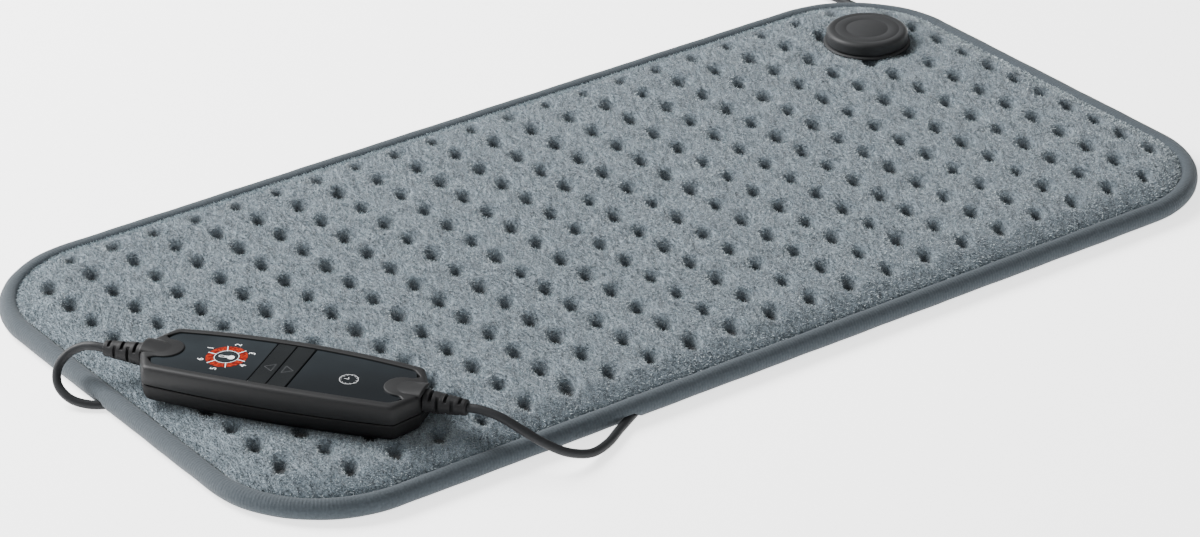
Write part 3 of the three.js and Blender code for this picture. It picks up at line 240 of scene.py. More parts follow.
def tube_rings(line, radius, sides):
    """Rings round a line, each turned as little as possible from the one before."""
    along = np.gradient(line, axis=0)
    along /= np.linalg.norm(along, axis=1)[:, None]
    across = np.cross(along[0], [0, 0, 1.0])
    across /= np.linalg.norm(across)
    cos, sin = circle(sides)
    rings = []
    for place, heading in zip(line, along):
        across = across - heading * np.dot(across, heading)
        across /= np.linalg.norm(across)
        rings.append(place + radius * (cos[:, None] * across + sin[:, None] * np.cross(heading, across)))
    return rings


def smoothstep(low, high, value):
    share = np.clip((np.asarray(value, float) - low) / (high - low), 0, 1)
    return share * share * (3 - 2 * share)


print("a line through 3 points, 4 steps a span:", len(centripetal([[0, 0], [1, 0], [1, 1]], 4)), "points")

# %% [markdown]
# A material is a tree of nodes, and so is a Geometry Nodes group. Adding a node, setting it up and linking it
# takes several lines each time, so this class does all three in one call. An input that comes from another
# node becomes a link, and anything else becomes a plain value.

# %% Material helpers
def numbered(values):
    """Inputs given by their number."""
    return {f"_{place}": value for place, value in enumerate(values)}


class Nodes:
    """A node tree whose nodes are added by type and fed with links or values as they come."""

    def feed(self, node, inputs):
        """Gives a node its inputs, each by its name, or by _ and its number."""
        for key, value in inputs.items():
            socket = node.inputs[int(key[1:]) if key.startswith("_") else key.replace("_", " ")]
            if isinstance(value, bpy.types.NodeSocket):
                self.tree.links.new(value, socket)
            else:
                socket.default_value = value
        return node

    def add(self, kind, settings=None, **inputs):
        node = self.tree.nodes.new(kind)
        for key, value in (settings or {}).items():
            setattr(node, key, value)
        return self.feed(node, inputs)

    def first(self, kind, settings=None, **inputs):
        return self.add(kind, settings, **inputs).outputs[0]

    def math(self, operation, *values):
        return self.first("ShaderNodeMath", {"operation": operation}, **numbered(values))

    def times(self, first, second):
        return self.math("MULTIPLY", first, second)


print("node helper:", Nodes.__name__)

# %% [markdown]
# No real surface has one flat colour: hands polish plastic in patches, and cloth shows its threads. Pictures
# could be mapped onto the pieces, but patterns worked out on a piece's own coordinates need no file and stay
# put when the piece moves. So every look here varies a little in colour and roughness, and has the grain that
# shows close up.

# %% Looks
class Look(Nodes):
    """A material."""

    def __init__(self, name):
        self.material = bpy.data.materials.new(name)
        self.material.use_nodes = True
        self.tree = self.material.node_tree
        self.coordinates = self.tree.nodes.new("ShaderNodeTexCoord").outputs["Object"]

    def done(self, bump=None, **inputs):
        """The material, given its shader's inputs and a bump as [height, distance, strength]."""
        if bump:
            height, distance, strength = bump
            inputs["Normal"] = self.first("ShaderNodeBump", Height=height, Distance=distance, Strength=strength)
        self.feed(self.tree.nodes["Principled BSDF"], inputs)
        return self.material

    def mapped(self, kind="POINT", **inputs):
        return self.first("ShaderNodeMapping", {"vector_type": kind}, Vector=self.coordinates, **inputs)

    def along_nap(self, stretch):
        """Coordinates that draw a pattern out along the nap."""
        return self.mapped("TEXTURE", Rotation=(0, 0, nap_angle), Scale=(stretch, 1, 1))

    def noise(self, scale, detail=3.0, roughness=0.6, vector=None):
        vector = self.coordinates if vector is None else vector
        return self.first("ShaderNodeTexNoise", Vector=vector, Scale=scale, Detail=detail, Roughness=roughness)

    def attribute(self, name):
        return self.add("ShaderNodeAttribute", {"attribute_name": name}).outputs["Fac"]

    def remap(self, value, low, high, to_low=0.0, to_high=1.0):
        ends = {"From_Min": low, "From_Max": high, "To_Min": to_low, "To_Max": to_high}
        return self.first("ShaderNodeMapRange", Value=value, **ends)

    def blend(self, share, first, second):
        return self.add("ShaderNodeMix", {"data_type": "RGBA"}, _0=share, _6=first, _7=second).outputs[2]


def rgba(colour, factor=1.0):
    return tuple(min(channel * factor, 1) for channel in colour) + (1.0,)


def moulded_plastic(name, colour, roughness, grain=0.00005, grain_scale=5200):
    """Satin moulded plastic: fine grain, and broad patches that a hand has polished."""
    look = Look(name)
    patches = look.noise(38, 4)
    return look.done(
        (look.noise(grain_scale, 2), grain, 0.6), Specular_IOR_Level=0.14,
        Base_Color=look.blend(patches, rgba(colour, 0.82), rgba(colour, 1.2)),
        Roughness=look.remap(patches, 0.3, 0.7, roughness - 0.06, roughness + 0.07),
    )


def woven_cloth(name, dark, light, thread=0.0009, depth=0.0002, fuzz=0.35):
    """Plain woven cloth, with threads crossing along X and Y."""
    look = Look(name)
    waves = [
        look.add(
            "ShaderNodeTexWave", {"bands_direction": way}, Vector=look.coordinates,
            Scale=1 / thread / 20, Distortion=0.6, Detail=1.0,
        ).outputs["Fac"] for way in ("X", "Y")
    ]
    threads = look.math("MAXIMUM", *waves)
    tone = look.times(threads, look.remap(look.noise(60, 4), 0.3, 0.7, 0.7))
    return look.done(
        (threads, depth, 0.8), Base_Color=look.blend(tone, rgba(dark), rgba(light)), Roughness=0.92,
        Sheen_Weight=fuzz, Sheen_Roughness=0.5,
    )


print("material helpers: ready")

# %% [markdown]
# The cover is plush: short slanting fibres on a knitted ground. A single material on the bare quilt would
# look like a painted sheet, so there are two: the ground that the pile grows from, dark between the fibres
# and nearly black in the pits as painted shade, and the fibres themselves, with a painted highlight towards
# their tips and painted shade towards their roots and in the pits. Piping, backing, wadding and felt are plain
# cloth in which only the threads differ.

# %% Fabric materials
# The nap lies towards the pad's near side, a little to the left, and this angle points against it
nap_angle = math.radians(60.6)
plush_dark = (0.030, 0.042, 0.052)
plush_middle = (0.285, 0.350, 0.400)
# Painted highlight on the tips of the pile's fibres
plush_tip_highlight = (0.88, 0.98, 1.0)
rib_length = 1.7


def plush_ground():
    look = Look("plush_ground")
    brushed = look.noise(420, 5, 0.7, look.along_nap(4.0))
    fibres = look.noise(900, 3, 0.7)
    tone = look.times(brushed, look.remap(fibres, 0.3, 0.7, 0.55))
    colour = look.blend(look.remap(tone, 0.2, 0.6), rgba(plush_dark), rgba(plush_middle))
    # Painted shade: the ground grows nearly black in the pits, the deeper the darker.
    deep = look.remap(look.attribute("depth"), 0.08, 0.62)
    return look.done(
        (fibres, 0.0012, 0.9), Base_Color=look.blend(deep, colour, rgba(plush_dark, 0.30)), Roughness=0.95,
        Sheen_Weight=0.4, Sheen_Roughness=0.4,
    )


def pile_fibre():
    look = Look("pile_fibre")
    patches = look.noise(620, 4, 0.7, look.along_nap(4.0))
    single = look.noise(1500, 2, 0.7, look.along_nap(2.5))
    # Painted light and shade: each fibre is paler towards its tip and darker towards its root.
    lit = look.times(look.attribute("tip"), look.remap(single, 0.36, 0.56))
    lit = look.times(lit, look.remap(patches, 0.40, 0.55, 0.3))
    base = look.blend(look.remap(patches, 0.35, 0.65), rgba(plush_middle, 0.28), rgba(plush_middle, 0.84))
    colour = look.blend(lit, base, rgba(plush_tip_highlight))
    # Painted shade: the fibres darken in the pits, more in some patches than in others.
    ragged = look.times(look.attribute("depth"), look.remap(patches, 0.3, 0.7, 0.75, 1.25))
    colour = look.blend(look.remap(ragged, 0.08, 0.62), colour, rgba(plush_dark, 0.45))
    return look.done(Base_Color=colour, Roughness=0.8, Sheen_Weight=0.25, Sheen_Roughness=0.4)


def piping_cloth():
    """The piping's cloth: fine ribs across the roll, from the piece's own run attribute."""
    look = Look("piping_cloth")
    ribs = look.remap(look.math("SINE", look.times(look.attribute("run"), 2 * math.pi / rib_length)), -1.0, 1.0)
    nap = look.noise(700, 4, 0.7)
    tone = look.times(look.remap(ribs, 0.0, 1.0, 0.92), look.remap(nap, 0.3, 0.7, 0.55))
    return look.done(
        (look.math("ADD", look.times(ribs, 0.5), look.times(nap, 2.0)), 0.0003, 0.6), Roughness=0.9,
        Base_Color=look.blend(tone, rgba((0.009, 0.013, 0.0165)), rgba((0.041, 0.054, 0.065))),
        Sheen_Weight=0.06, Sheen_Roughness=0.5,
    )


plush_ground_look = plush_ground()
pile_look = pile_fibre()
piping_look = piping_cloth()
backing_look = woven_cloth("backing_weave", (0.035, 0.045, 0.055), (0.105, 0.125, 0.145))
wadding_look = woven_cloth("wadding_fleece", (0.55, 0.56, 0.57), (0.80, 0.81, 0.82), 0.002, 0.0006, 0.6)
felt_look = woven_cloth("carrier_felt", (0.42, 0.38, 0.31), (0.62, 0.58, 0.50), 0.0015, 0.0003)
print("fabrics: ready")

# %% [markdown]
# The controller is satin black plastic with glossy windows, glowing level lights and white print. The windows
# carry a painted reflection, and the print glows a little as painted light. One black for all would hide where
# its parts meet, so each part's plastic differs a little in tone and roughness. The grain is bump, because it
# is far too fine to be worth any faces.

# %% Hard materials
housing_look = moulded_plastic("housing_satin", (0.0075, 0.0077, 0.0082), 0.55)
rim_look = moulded_plastic("rim_satin", (0.014, 0.0143, 0.015), 0.5)
lower_look = moulded_plastic("lower_satin", (0.006, 0.006, 0.0065), 0.58)
key_look = moulded_plastic("key_satin", (0.007, 0.0085, 0.0095), 0.3)
cap_look = moulded_plastic("cap_satin", (0.026, 0.0268, 0.028), 0.5)
cord_look = moulded_plastic("cord_sheath", (0.017, 0.018, 0.0195), 0.5, 0.00004, 3000)
relief_look = moulded_plastic("relief_rubber", (0.012, 0.0122, 0.013), 0.55, 0.00005, 3800)
mark_look = moulded_plastic("key_mark", (0.045, 0.047, 0.05), 0.5)
black_look = moulded_plastic("black_plastic", (0.010, 0.010, 0.011), 0.5)
milky_look = moulded_plastic("milky_plastic", (0.70, 0.68, 0.63), 0.4)
board_look = moulded_plastic("board_mask", (0.015, 0.12, 0.05), 0.4, 0.00003, 900)
wire_look = moulded_plastic("wire_jacket", (0.42, 0.12, 0.06), 0.5, 0.00003, 2500)


def window_gloss():
    """Glossy dark windows, with a painted reflection that grows paler towards their far side, and dust that dulls
    them a little.
    """
    look = Look("window_gloss")
    cloud, dust = look.noise(26, 3), look.noise(2400, 2)
    # Painted reflection: the windows grow paler across their width, towards the side away from the camera, in cloudy
    # patches.
    reflection_axes = look.add("ShaderNodeSeparateXYZ", Vector=look.coordinates).outputs
    across = look.math("ADD", look.times(reflection_axes["X"], 0.8), reflection_axes["Y"])
    pale = look.blend(look.remap(across, -0.275, -0.225), rgba((0.005, 0.007, 0.009)), rgba((0.022, 0.029, 0.034)))
    return look.done(
        (dust, 0.00001, 0.3), Base_Color=look.blend(cloud, rgba((0.003, 0.0045, 0.006)), pale),
        Roughness=look.remap(dust, 0.35, 0.75, 0.16, 0.26), Specular_IOR_Level=0.22,
    )


def glowing_light():
    """A lit diffuser: orange at its brightest, with deep red patches where the light falls off."""
    look = Look("glowing_light")
    patches = look.noise(520, 3, 0.65)
    glow = look.blend(look.remap(patches, 0.42, 0.62), rgba((0.22, 0.002, 0.0005)), rgba((0.95, 0.055, 0.002)))
    return look.done(
        (patches, 0.0001, 0.4), Roughness=0.4, Specular_IOR_Level=0.1, Emission_Color=glow, Emission_Strength=0.85,
        Base_Color=look.blend(patches, rgba((0.02, 0.0008, 0.0004)), rgba((0.05, 0.003, 0.0006))),
    )


def white_print():
    """Screen-printed white, thinner here and there, which glows a little as painted light."""
    look = Look("white_print")
    ink = look.noise(1800, 3)
    return look.done(
        (ink, 0.00001, 0.4), Base_Color=look.blend(ink, rgba((0.74, 0.75, 0.76)), rgba((0.90, 0.91, 0.92))),
        # Painted light: the print glows a little, though it is no lamp.
        Roughness=0.5, Emission_Color=rgba((0.9, 0.92, 0.95)), Emission_Strength=0.18,
    )


def plated_metal(name, colour, roughness):
    look = Look(name)
    brushed = look.noise(900, 3, 0.6, look.mapped(Scale=(1.0, 1.0, 0.1)))
    return look.done(
        (brushed, 0.00002, 0.4), Metallic=1.0,
        Base_Color=look.blend(brushed, rgba(colour, 0.85), rgba(colour, 1.1)),
        Roughness=look.remap(brushed, 0.3, 0.7, roughness - 0.06, roughness + 0.08),
    )


window_look = window_gloss()
light_look = glowing_light()
print_look = white_print()
steel_look = plated_metal("plated_steel", (0.56, 0.57, 0.60), 0.28)
brass_look = plated_metal("plated_brass", (0.72, 0.50, 0.18), 0.3)
print("hard materials: ready")

# %% [markdown]
# Both leads start at the controller, cross the pad's edge and run under the pad, one to the coupling and one
# out at the far corner, where it is coiled and tied. A cord could be dropped in a simulation, but it would
# land a little differently each time. Here a smooth line goes through chosen points, the same as in the
# part's source.

# %% Routes of the leads
cord_diameter = 4.5
cord_level = 0.2 + cord_diameter / 2
seat_gap = 0.3
controller_turn = math.radians(-55.5)
controller_place = np.array([-236.5, -59.5, 13.9])
entry_height = 13.0
body_half = 72.5
relief_length = 21.0
lead_reach = body_half + seat_gap + relief_length + seat_gap
coupling_place = np.array([240.0, 88.0])
coupling_plug_level = 3.8
boot_end_x = coupling_place[0] - 48.0
coil_place = np.array([308.0, 197.0])
coil_inner = 18.3
coil_pitch = 5.0
coil_turns_per_layer = 3.5
coil_outer = coil_inner + coil_turns_per_layer * coil_pitch
coil_level = 0.8 + 3 * seat_gap + cord_diameter / 2
coil_exit_level = coil_level + coil_pitch
coil_start = math.radians(190)
plug_place = np.array([249.5, 229.5, 7.0])
plug_turn = math.radians(140)
plug_heading = np.array([*way_at(plug_turn), 0])


def lead_start(side, further):
    reach = side * (lead_reach + further)
    return laid([reach, 0, entry_height], controller_turn, controller_place)


def coil_line(distance, level):
    """A point on the straight line that touches the coil where its winding starts."""
    out = way_at(coil_start)
    return (*(coil_place + coil_outer * out + np.array([out[1], -out[0]]) * distance), level)


def lying(*places):
    """Points of a lead that lies on the floor."""
    return [(x, y, cord_level) for x, y in places]


pad_lead_points = [
    lead_start(-1, 0), lead_start(-1, 6),
    (-296.4, 28, 25.5), (-301.6, 32.8, 21.6), (-307.6, 33.6, 15.6), (-311, 29, 9.3), (-309.6, 20.8, 4.6),
    *lying((-303.4, 13), (-293, 5.6), (-279, -1.5), (-255, -5), (-205, 1), (-145, 14), (-85, 28)),
    *lying((-25, 42), (35, 55), (90, 68), (135, 81), (158, 84)),
    (boot_end_x - 7, coupling_place[1], coupling_plug_level),
    (boot_end_x - seat_gap, coupling_place[1], coupling_plug_level),
]
mains_lead_points = [
    lead_start(1, 0), lead_start(1, 6),
    (-174.5, -150, 25), (-169, -158.5, 20.6), (-162, -166.5, 14.6), (-152, -172.5, 8.2), (-139.5, -174, 3.9),
    *lying((-126.5, -169.5), (-112, -161), (-88, -148.5), (-40, -134), (30, -116), (110, -101)),
    *lying((180, -83), (235, -50), (270, 0), (284, 55), (285, 105), (281.5, 145)),
    coil_line(-3 * cord_diameter, coil_level), coil_line(-cord_diameter - seat_gap, coil_level),
]
mains_tail_points = [
    coil_line(cord_diameter + seat_gap, coil_exit_level), coil_line(2 * cord_diameter, coil_exit_level),
    (267.5, 209.5, 8.3), (262, 217, 7.6),
    plug_place - plug_heading * 1.5 * cord_diameter, plug_place - plug_heading * seat_gap,
]


print("points of both leads:", len(pad_lead_points), "and", len(mains_lead_points))

# %% [markdown]
# The spare mains lead is one cord wound in two layers. A stack of rings would look alike but have no ends, so
# the winding is one spiral that goes inwards, climbs a layer and comes out again, with the same gap between
# all its turns. The leads themselves are tubes through their smooth lines.

# %% Lead pieces
def winding_line(steps_per_turn=48):
    """The coil: in towards its middle, up a layer and out again, with a straight diameter at each end."""
    turns = 2 * coil_turns_per_layer
    turn = np.linspace(0, turns, int(turns * steps_per_turn) + 1)
    radius = (coil_inner + coil_pitch * np.abs(turn - coil_turns_per_layer))[:, None]
    angle = coil_start - turn * 2 * math.pi
    climb = smoothstep(coil_turns_per_layer - 0.25, coil_turns_per_layer + 0.25, turn)
    wound = np.c_[coil_place + radius * np.c_[np.cos(angle), np.sin(angle)], coil_level + coil_pitch * climb]
    return np.vstack([coil_line(-cord_diameter, coil_level), wound, coil_line(cord_diameter, coil_exit_level)])


def lead_piece(name, line, body=None, sides=16):
    return loft(f"{name}_cord", tube_rings(line, cord_diameter / 2, sides), cord_look, body, name, 60)


pad_lead_line = centripetal(pad_lead_points, 12)
mains_lead_line = centripetal(mains_lead_points, 12)
coil_wound_line = winding_line()
tail_line = centripetal(mains_tail_points, 10)

pad_lead = lead_piece("pad_lead", pad_lead_line)
mains_lead = lead_piece("mains_lead", mains_lead_line)
mains_coil = lead_piece("mains_coil", coil_wound_line, "pad", 12)
mains_tail = lead_piece("mains_tail", tail_line, "pad")

print("coil:", len(coil_wound_line), "points")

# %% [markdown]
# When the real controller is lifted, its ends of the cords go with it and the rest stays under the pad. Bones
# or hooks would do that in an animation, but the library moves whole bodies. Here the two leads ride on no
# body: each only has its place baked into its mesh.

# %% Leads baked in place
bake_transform(pad_lead)
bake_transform(mains_lead)
print("blended leads:", pad_lead.name, mains_lead.name)

# %% [markdown]
# The pad is a rounded rectangle of stacked cloth, and its quilt, wadding and backing share one outline. A
# plane cut to shape by a boolean would have ragged faces at the corners, so each layer is a square grid whose
# outer points are drawn onto the outline. The grid of the quilt is finer at the tufts, where the shape
# changes fast.

# %% Pad outline
pad_size = np.array([600.0, 316.0])
pad_corner_radius = 66.0
corner_centre = pad_size / 2 - pad_corner_radius
layer_inset = 9.8
quilt_bottom = 9.4
quilt_top = 13.6
tuft_pitch = np.array([24.7, 21.8])
tuft_count = np.array([23, 13])
tuft_shift = np.array([1.1, -0.8])
lines_by_tuft = np.array([-4.9, -4.1, -3.2, -2.3, -1.5, -0.75, 0, 0.75, 1.5, 2.3, 3.2, 4.1, 4.9])
lines_past_tufts = np.arange(1, 12) * 2.2


def inside_by(xy):
    """How far points lie inside the pad's outline, and the nearest way out."""
    past = np.abs(xy) - corner_centre
    beyond = np.maximum(past, 0)
    reach = np.linalg.norm(beyond, axis=1)
    distance = pad_corner_radius - reach - np.minimum(past.max(axis=1), 0)
    straight = np.eye(2)[past.argmax(axis=1)]
    corner = beyond / np.maximum(reach, 1e-9)[:, None]
    way_out = np.where((reach > 1e-9)[:, None], corner, straight) * np.where(xy < 0, -1, 1)
    return distance, way_out


def tuft_steps(axis):
    return (np.arange(tuft_count[axis]) - (tuft_count[axis] - 1) / 2) * tuft_pitch[axis] + tuft_shift[axis]


def lines_at_tufts(axis):
    """Grid lines along one axis, close together at each row of tufts and wider between the rows."""
    between = np.linspace(lines_by_tuft[-1], tuft_pitch[axis] - lines_by_tuft[-1], 7)[1:-1]
    lines = [step + part for step in tuft_steps(axis) for part in (*lines_by_tuft, *between)]
    return np.array([*(lines[0] - lines_past_tufts[::-1]), *lines, *(lines[-1] + lines_past_tufts)])


def pad_grid(inset, spacing=None):
    """Points and quads of a grid over the pad, its rim drawn onto the inset outline."""
    if spacing:
        counts = [int(math.ceil((size / 2 - inset) / spacing)) + 1 for size in pad_size]
        xs, ys = (np.arange(-count, count + 1) * spacing for count in counts)
    else:
        xs, ys = (lines_at_tufts(axis) for axis in (0, 1))
    grid_x, grid_y = np.meshgrid(xs, ys, indexing="ij")
    xy = np.c_[grid_x.ravel(), grid_y.ravel()]
    distance, way_out = inside_by(xy)
    depth = distance - inset
    quads = grid_quads(point_grid(len(xs), len(ys)))
    quads = quads[depth[quads].max(axis=1) > 0.05]
    used = np.unique(quads)
    move = (depth < 0)[:, None] * way_out * depth[:, None]
    renumber = np.full(len(xy), -1)
    renumber[used] = np.arange(len(used))
    return (xy + move)[used], renumber[quads]


print("pad outline:", *pad_size, "mm")

# %% [markdown]
# A layer is a slab between a lower and an upper height. Solidify would give it an even thickness, but these
# layers are thin at the rim and thick in the middle, and rise where they lie over a lead. So both heights are
# given at every point, from how far it lies inside the outline and how near it is to a lead, the coupling or
# the controller.

# %% Layers of cloth
def slab(name, xy, quads, low, high, look, node):
    """A closed slab over a grid, between two heights given at each point."""
    count = len(xy)
    points = np.vstack([np.c_[xy, np.broadcast_to(high, count)], np.c_[xy, np.broadcast_to(low, count)]])
    edges = np.vstack([quads[:, [side, (side + 1) % 4]] for side in range(4)])
    seen = {tuple(edge) for edge in edges.tolist()}
    faces = quads.tolist() + (quads[:, ::-1] + count).tolist()
    faces += [(b, a, a + count, b + count) for a, b in seen if (b, a) not in seen]
    return outward(mesh_object(name, points, faces, look, "pad", node))


def near_line(xy, line):
    """The distance from each point to a line, seen from above."""
    best = np.full(len(xy), 1e9)
    for a, b in zip(line[:-1, :2], line[1:, :2]):
        span = b - a
        share = np.clip(((xy - a) @ span) / max(span @ span, 1e-9), 0, 1)
        best = np.minimum(best, np.linalg.norm(xy - a - share[:, None] * span, axis=1))
    return best


footprint_half = np.array([lead_reach - 8, 25])
# The stretches of both leads that lie under the pad
covered_lines = [line[np.r_[True, line[1:, 2] < 4.0]][1:] for line in (pad_lead_line, mains_lead_line)]


def layer_arch(xy, half_width, height, softness=1.6):
    """How far a layer is lifted where it lies over a lead."""
    edges = (half_width, half_width + softness)
    return np.max([height * (1 - smoothstep(*edges, near_line(xy, line))) for line in covered_lines], axis=0)


def past_coupling(xy):
    return np.linalg.norm(xy - coupling_place, axis=1)


def past_controller(xy):
    """How far points lie outside the controller's footprint."""
    own = (xy - controller_place[:2]) @ turn_matrix(controller_turn)[:2, :2]
    return np.linalg.norm(np.maximum(np.abs(own) - footprint_half, 0), axis=1)


print("points of the leads under the pad:", *map(len, covered_lines))

# %% [markdown]
# The quilt is stitched down at an even lattice of small tufts, and each stitch leaves a deep pit. Sculpting
# or a displacement picture could press them in. Here the way from each point to its nearest tuft gives the
# depth, so the pits stay crisp, each has a size of its own, and all of them fan out against the nap as the
# real ones do.

# %% Tufts
tuft_margin = 9.6
cap_radius = 23.2
fan_near = 4.6
fan_far = 11.0
fan_side = 4.2
fan_spread = 0.30
fan_shift = 1.2


def tuft_places():
    grid = np.array([(x, y) for x in tuft_steps(0) for y in tuft_steps(1)])
    return grid[(inside_by(grid)[0] > layer_inset + tuft_margin) & (past_coupling(grid) > cap_radius + 1)]


tufts = tuft_places()
chance = np.random.default_rng(5)
tuft_size = chance.uniform(0.88, 1.1, len(tufts))


def least_over_tufts(xy, measure):
    """The least of a measure over all tufts, taken of the ways from each tuft and its size."""
    least = np.full(len(xy), 1e9)
    for start in range(0, len(tufts), 32):
        part = slice(start, start + 32)
        least = np.minimum(least, measure(xy[:, None, :] - tufts[None, part, :], tuft_size[None, part]).min(axis=1))
    return least


def tuft_distance(gaps, size):
    return np.linalg.norm(gaps, axis=2) / size


def out_of_fan(gaps, size):
    """How far points lie out of a pit: 0 at its stitch and 1 at its rim, which fans out against the nap."""
    against = way_at(nap_angle)
    gaps = gaps / size[..., None]
    along = gaps @ against + fan_shift
    width = fan_side + fan_spread * np.clip(along, 0, fan_far)
    across = gaps @ np.array([-against[1], against[0]])
    return np.hypot(along / np.where(along > 0, fan_far, fan_near), across / width)


print("tufts:", len(tufts))

# %% [markdown]
# The top is crowned and puffs up between its pits, and the controller and the coupling press it down. A cloth
# simulation with pinned stitches could find such a shape, but a height worked out for each point is the same
# on every run. It closes underneath, so it is a pad and not a sheet, and its pile grows from its upper side
# only.

# %% Quilted top
pit_depth = 8.5
pillow_rise = 1.2
pillow_reach = 11.5
quilt_swell = 1.3
swell_past_controller = (1, 13)
swell_past_cap = (2, 10)
swell_past_edge = (10, 32)
quilt_skin = 0.3
least_thickness = 0.2
shoulder = 15.0
shoulder_round = 0.12
ripple_rise = 0.15
ripples = ((0.11, 1.3), (0.09, 0.4))
cap_press = 0.6
cap_press_ends = (3, -1)
rim_drop = 1.3
rim_drop_reach = 2.6
seam_drop = 7.0
seam_drop_ends = (1.9, 0.3)
lead_arch_height = 5.3


def quilt_height(xy):
    """The height of the top's ground and how deep each point lies in a pit, from 0 to 1."""
    depth, _ = inside_by(xy)
    rim = np.clip((depth - layer_inset) / shoulder, 0, 1)
    crown = shoulder_round * np.sqrt(1 - (1 - rim) ** 2) + (1 - shoulder_round) * smoothstep(0, 1, rim)
    # The nap lies over the near rim of each pit and parts on the far side, so the pit fans out there
    fan = np.clip(1 - least_over_tufts(xy, out_of_fan), 0, 1)
    pillow = smoothstep(0, pillow_reach, least_over_tufts(xy, tuft_distance))
    ripple = np.prod([np.sin(xy[:, axis] * rate + start) for axis, (rate, start) in enumerate(ripples)], axis=0)
    # The controller and the coupling press the quilt down, and it swells a little between them
    past_cap = past_coupling(xy) - cap_radius
    free = smoothstep(*swell_past_controller, past_controller(xy)) * smoothstep(*swell_past_cap, past_cap)
    free = free * smoothstep(*swell_past_edge, depth)
    filling = quilt_top - quilt_bottom - quilt_skin + quilt_swell * free
    high = quilt_bottom + quilt_skin + filling * crown
    high = high - pillow_rise * (1 - pillow) * rim - pit_depth * fan ** 1.1 * rim + ripple_rise * ripple * rim
    high = high - cap_press * smoothstep(*cap_press_ends, past_cap)
    # The rim rolls over into the groove beside the piping
    rolled = rim_drop * smoothstep(rim_drop_reach, 0, depth - layer_inset)
    return np.maximum(high, quilt_bottom + least_thickness) - rolled, fan ** 0.95


top_xy, top_quads = pad_grid(layer_inset)
top_high, top_pit = quilt_height(top_xy)
# The rim is drawn down into the groove, to the seam behind the piping
skirt = smoothstep(*seam_drop_ends, inside_by(top_xy)[0] - layer_inset)
top_low = np.maximum(quilt_bottom - seam_drop * skirt, layer_arch(top_xy, 2.5, lead_arch_height))
plush_top = slab("plush_top", top_xy, top_quads, top_low, top_high, plush_ground_look, "top_cover")
none_below = np.zeros(len(top_xy))
# The depth also paints shade into the pits, in the colour of the ground and of the pile.
add_attribute(plush_top, "depth", np.r_[top_pit, none_below])
add_attribute(plush_top, "grows", np.r_[past_coupling(top_xy) > cap_radius - 2, none_below])
print("quilted top:", len(tufts), "tufts,", len(plush_top.data.polygons), "faces")

# %% [markdown]
# Geometry Nodes grow many small things by rule. The modifier could stay on the piece, but the library takes
# real faces and drops instances. So this class starts a tree with named inputs, runs it on a copy of a
# piece's mesh and keeps what it grew as a plain mesh.

# %% Geometry Nodes helper
class Tree(Nodes):
    """A Geometry Nodes tree with named inputs."""

    def __init__(self, name, inputs):
        self.tree = bpy.data.node_groups.new(name, "GeometryNodeTree")
        self.tree.interface.new_socket("Geometry", in_out="INPUT", socket_type="NodeSocketGeometry")
        for label, kind, value in inputs:
            socket = self.tree.interface.new_socket(label, in_out="INPUT", socket_type=kind)
            if value is not None:
                socket.default_value = value
        self.tree.interface.new_socket("Geometry", in_out="OUTPUT", socket_type="NodeSocketGeometry")
        self.input = self.tree.nodes.new("NodeGroupInput").outputs
        self.output = self.tree.nodes.new("NodeGroupOutput")

    def vector(self, operation, *values):
        return self.first("ShaderNodeVectorMath", {"operation": operation}, **numbered(values))

    def named(self, label):
        """A number that each point of the source mesh carries."""
        return self.first("GeometryNodeInputNamedAttribute", {"data_type": "FLOAT"}, Name=label)

    def random(self, low, high, seed):
        return self.add("FunctionNodeRandomValue", {"data_type": "FLOAT"}, _2=low, _3=high, Seed=seed).outputs[1]

    def grown_on(self, source, name, values, body, slot):
        """Runs the tree on a copy of a piece's mesh and returns what it grew as a piece of its own."""
        holder = linked(name + "_source", source.data.copy())
        modifier = holder.modifiers.new("tree", "NODES")
        modifier.node_group = self.tree
        for item in self.tree.interface.items_tree:
            if item.in_out == "INPUT" and item.name in values:
                modifier[item.identifier] = values[item.name]
        mesh = evaluated_mesh(holder)
        mesh.name = name
        piece = linked(name, mesh)
        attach(piece, body)
        return piece


print("tree helper:", Tree.__name__)

# %% [markdown]
# Plush is thousands of short fibres that lean one way. Hair particles would look the part, but they aren't
# mesh and the library would lose them. So the tree scatters points over the ground and stands a slim blade on
# each. It leans them all a little one way, and turns and sizes each by chance from a fixed seed, so the pile
# is the same on every run.

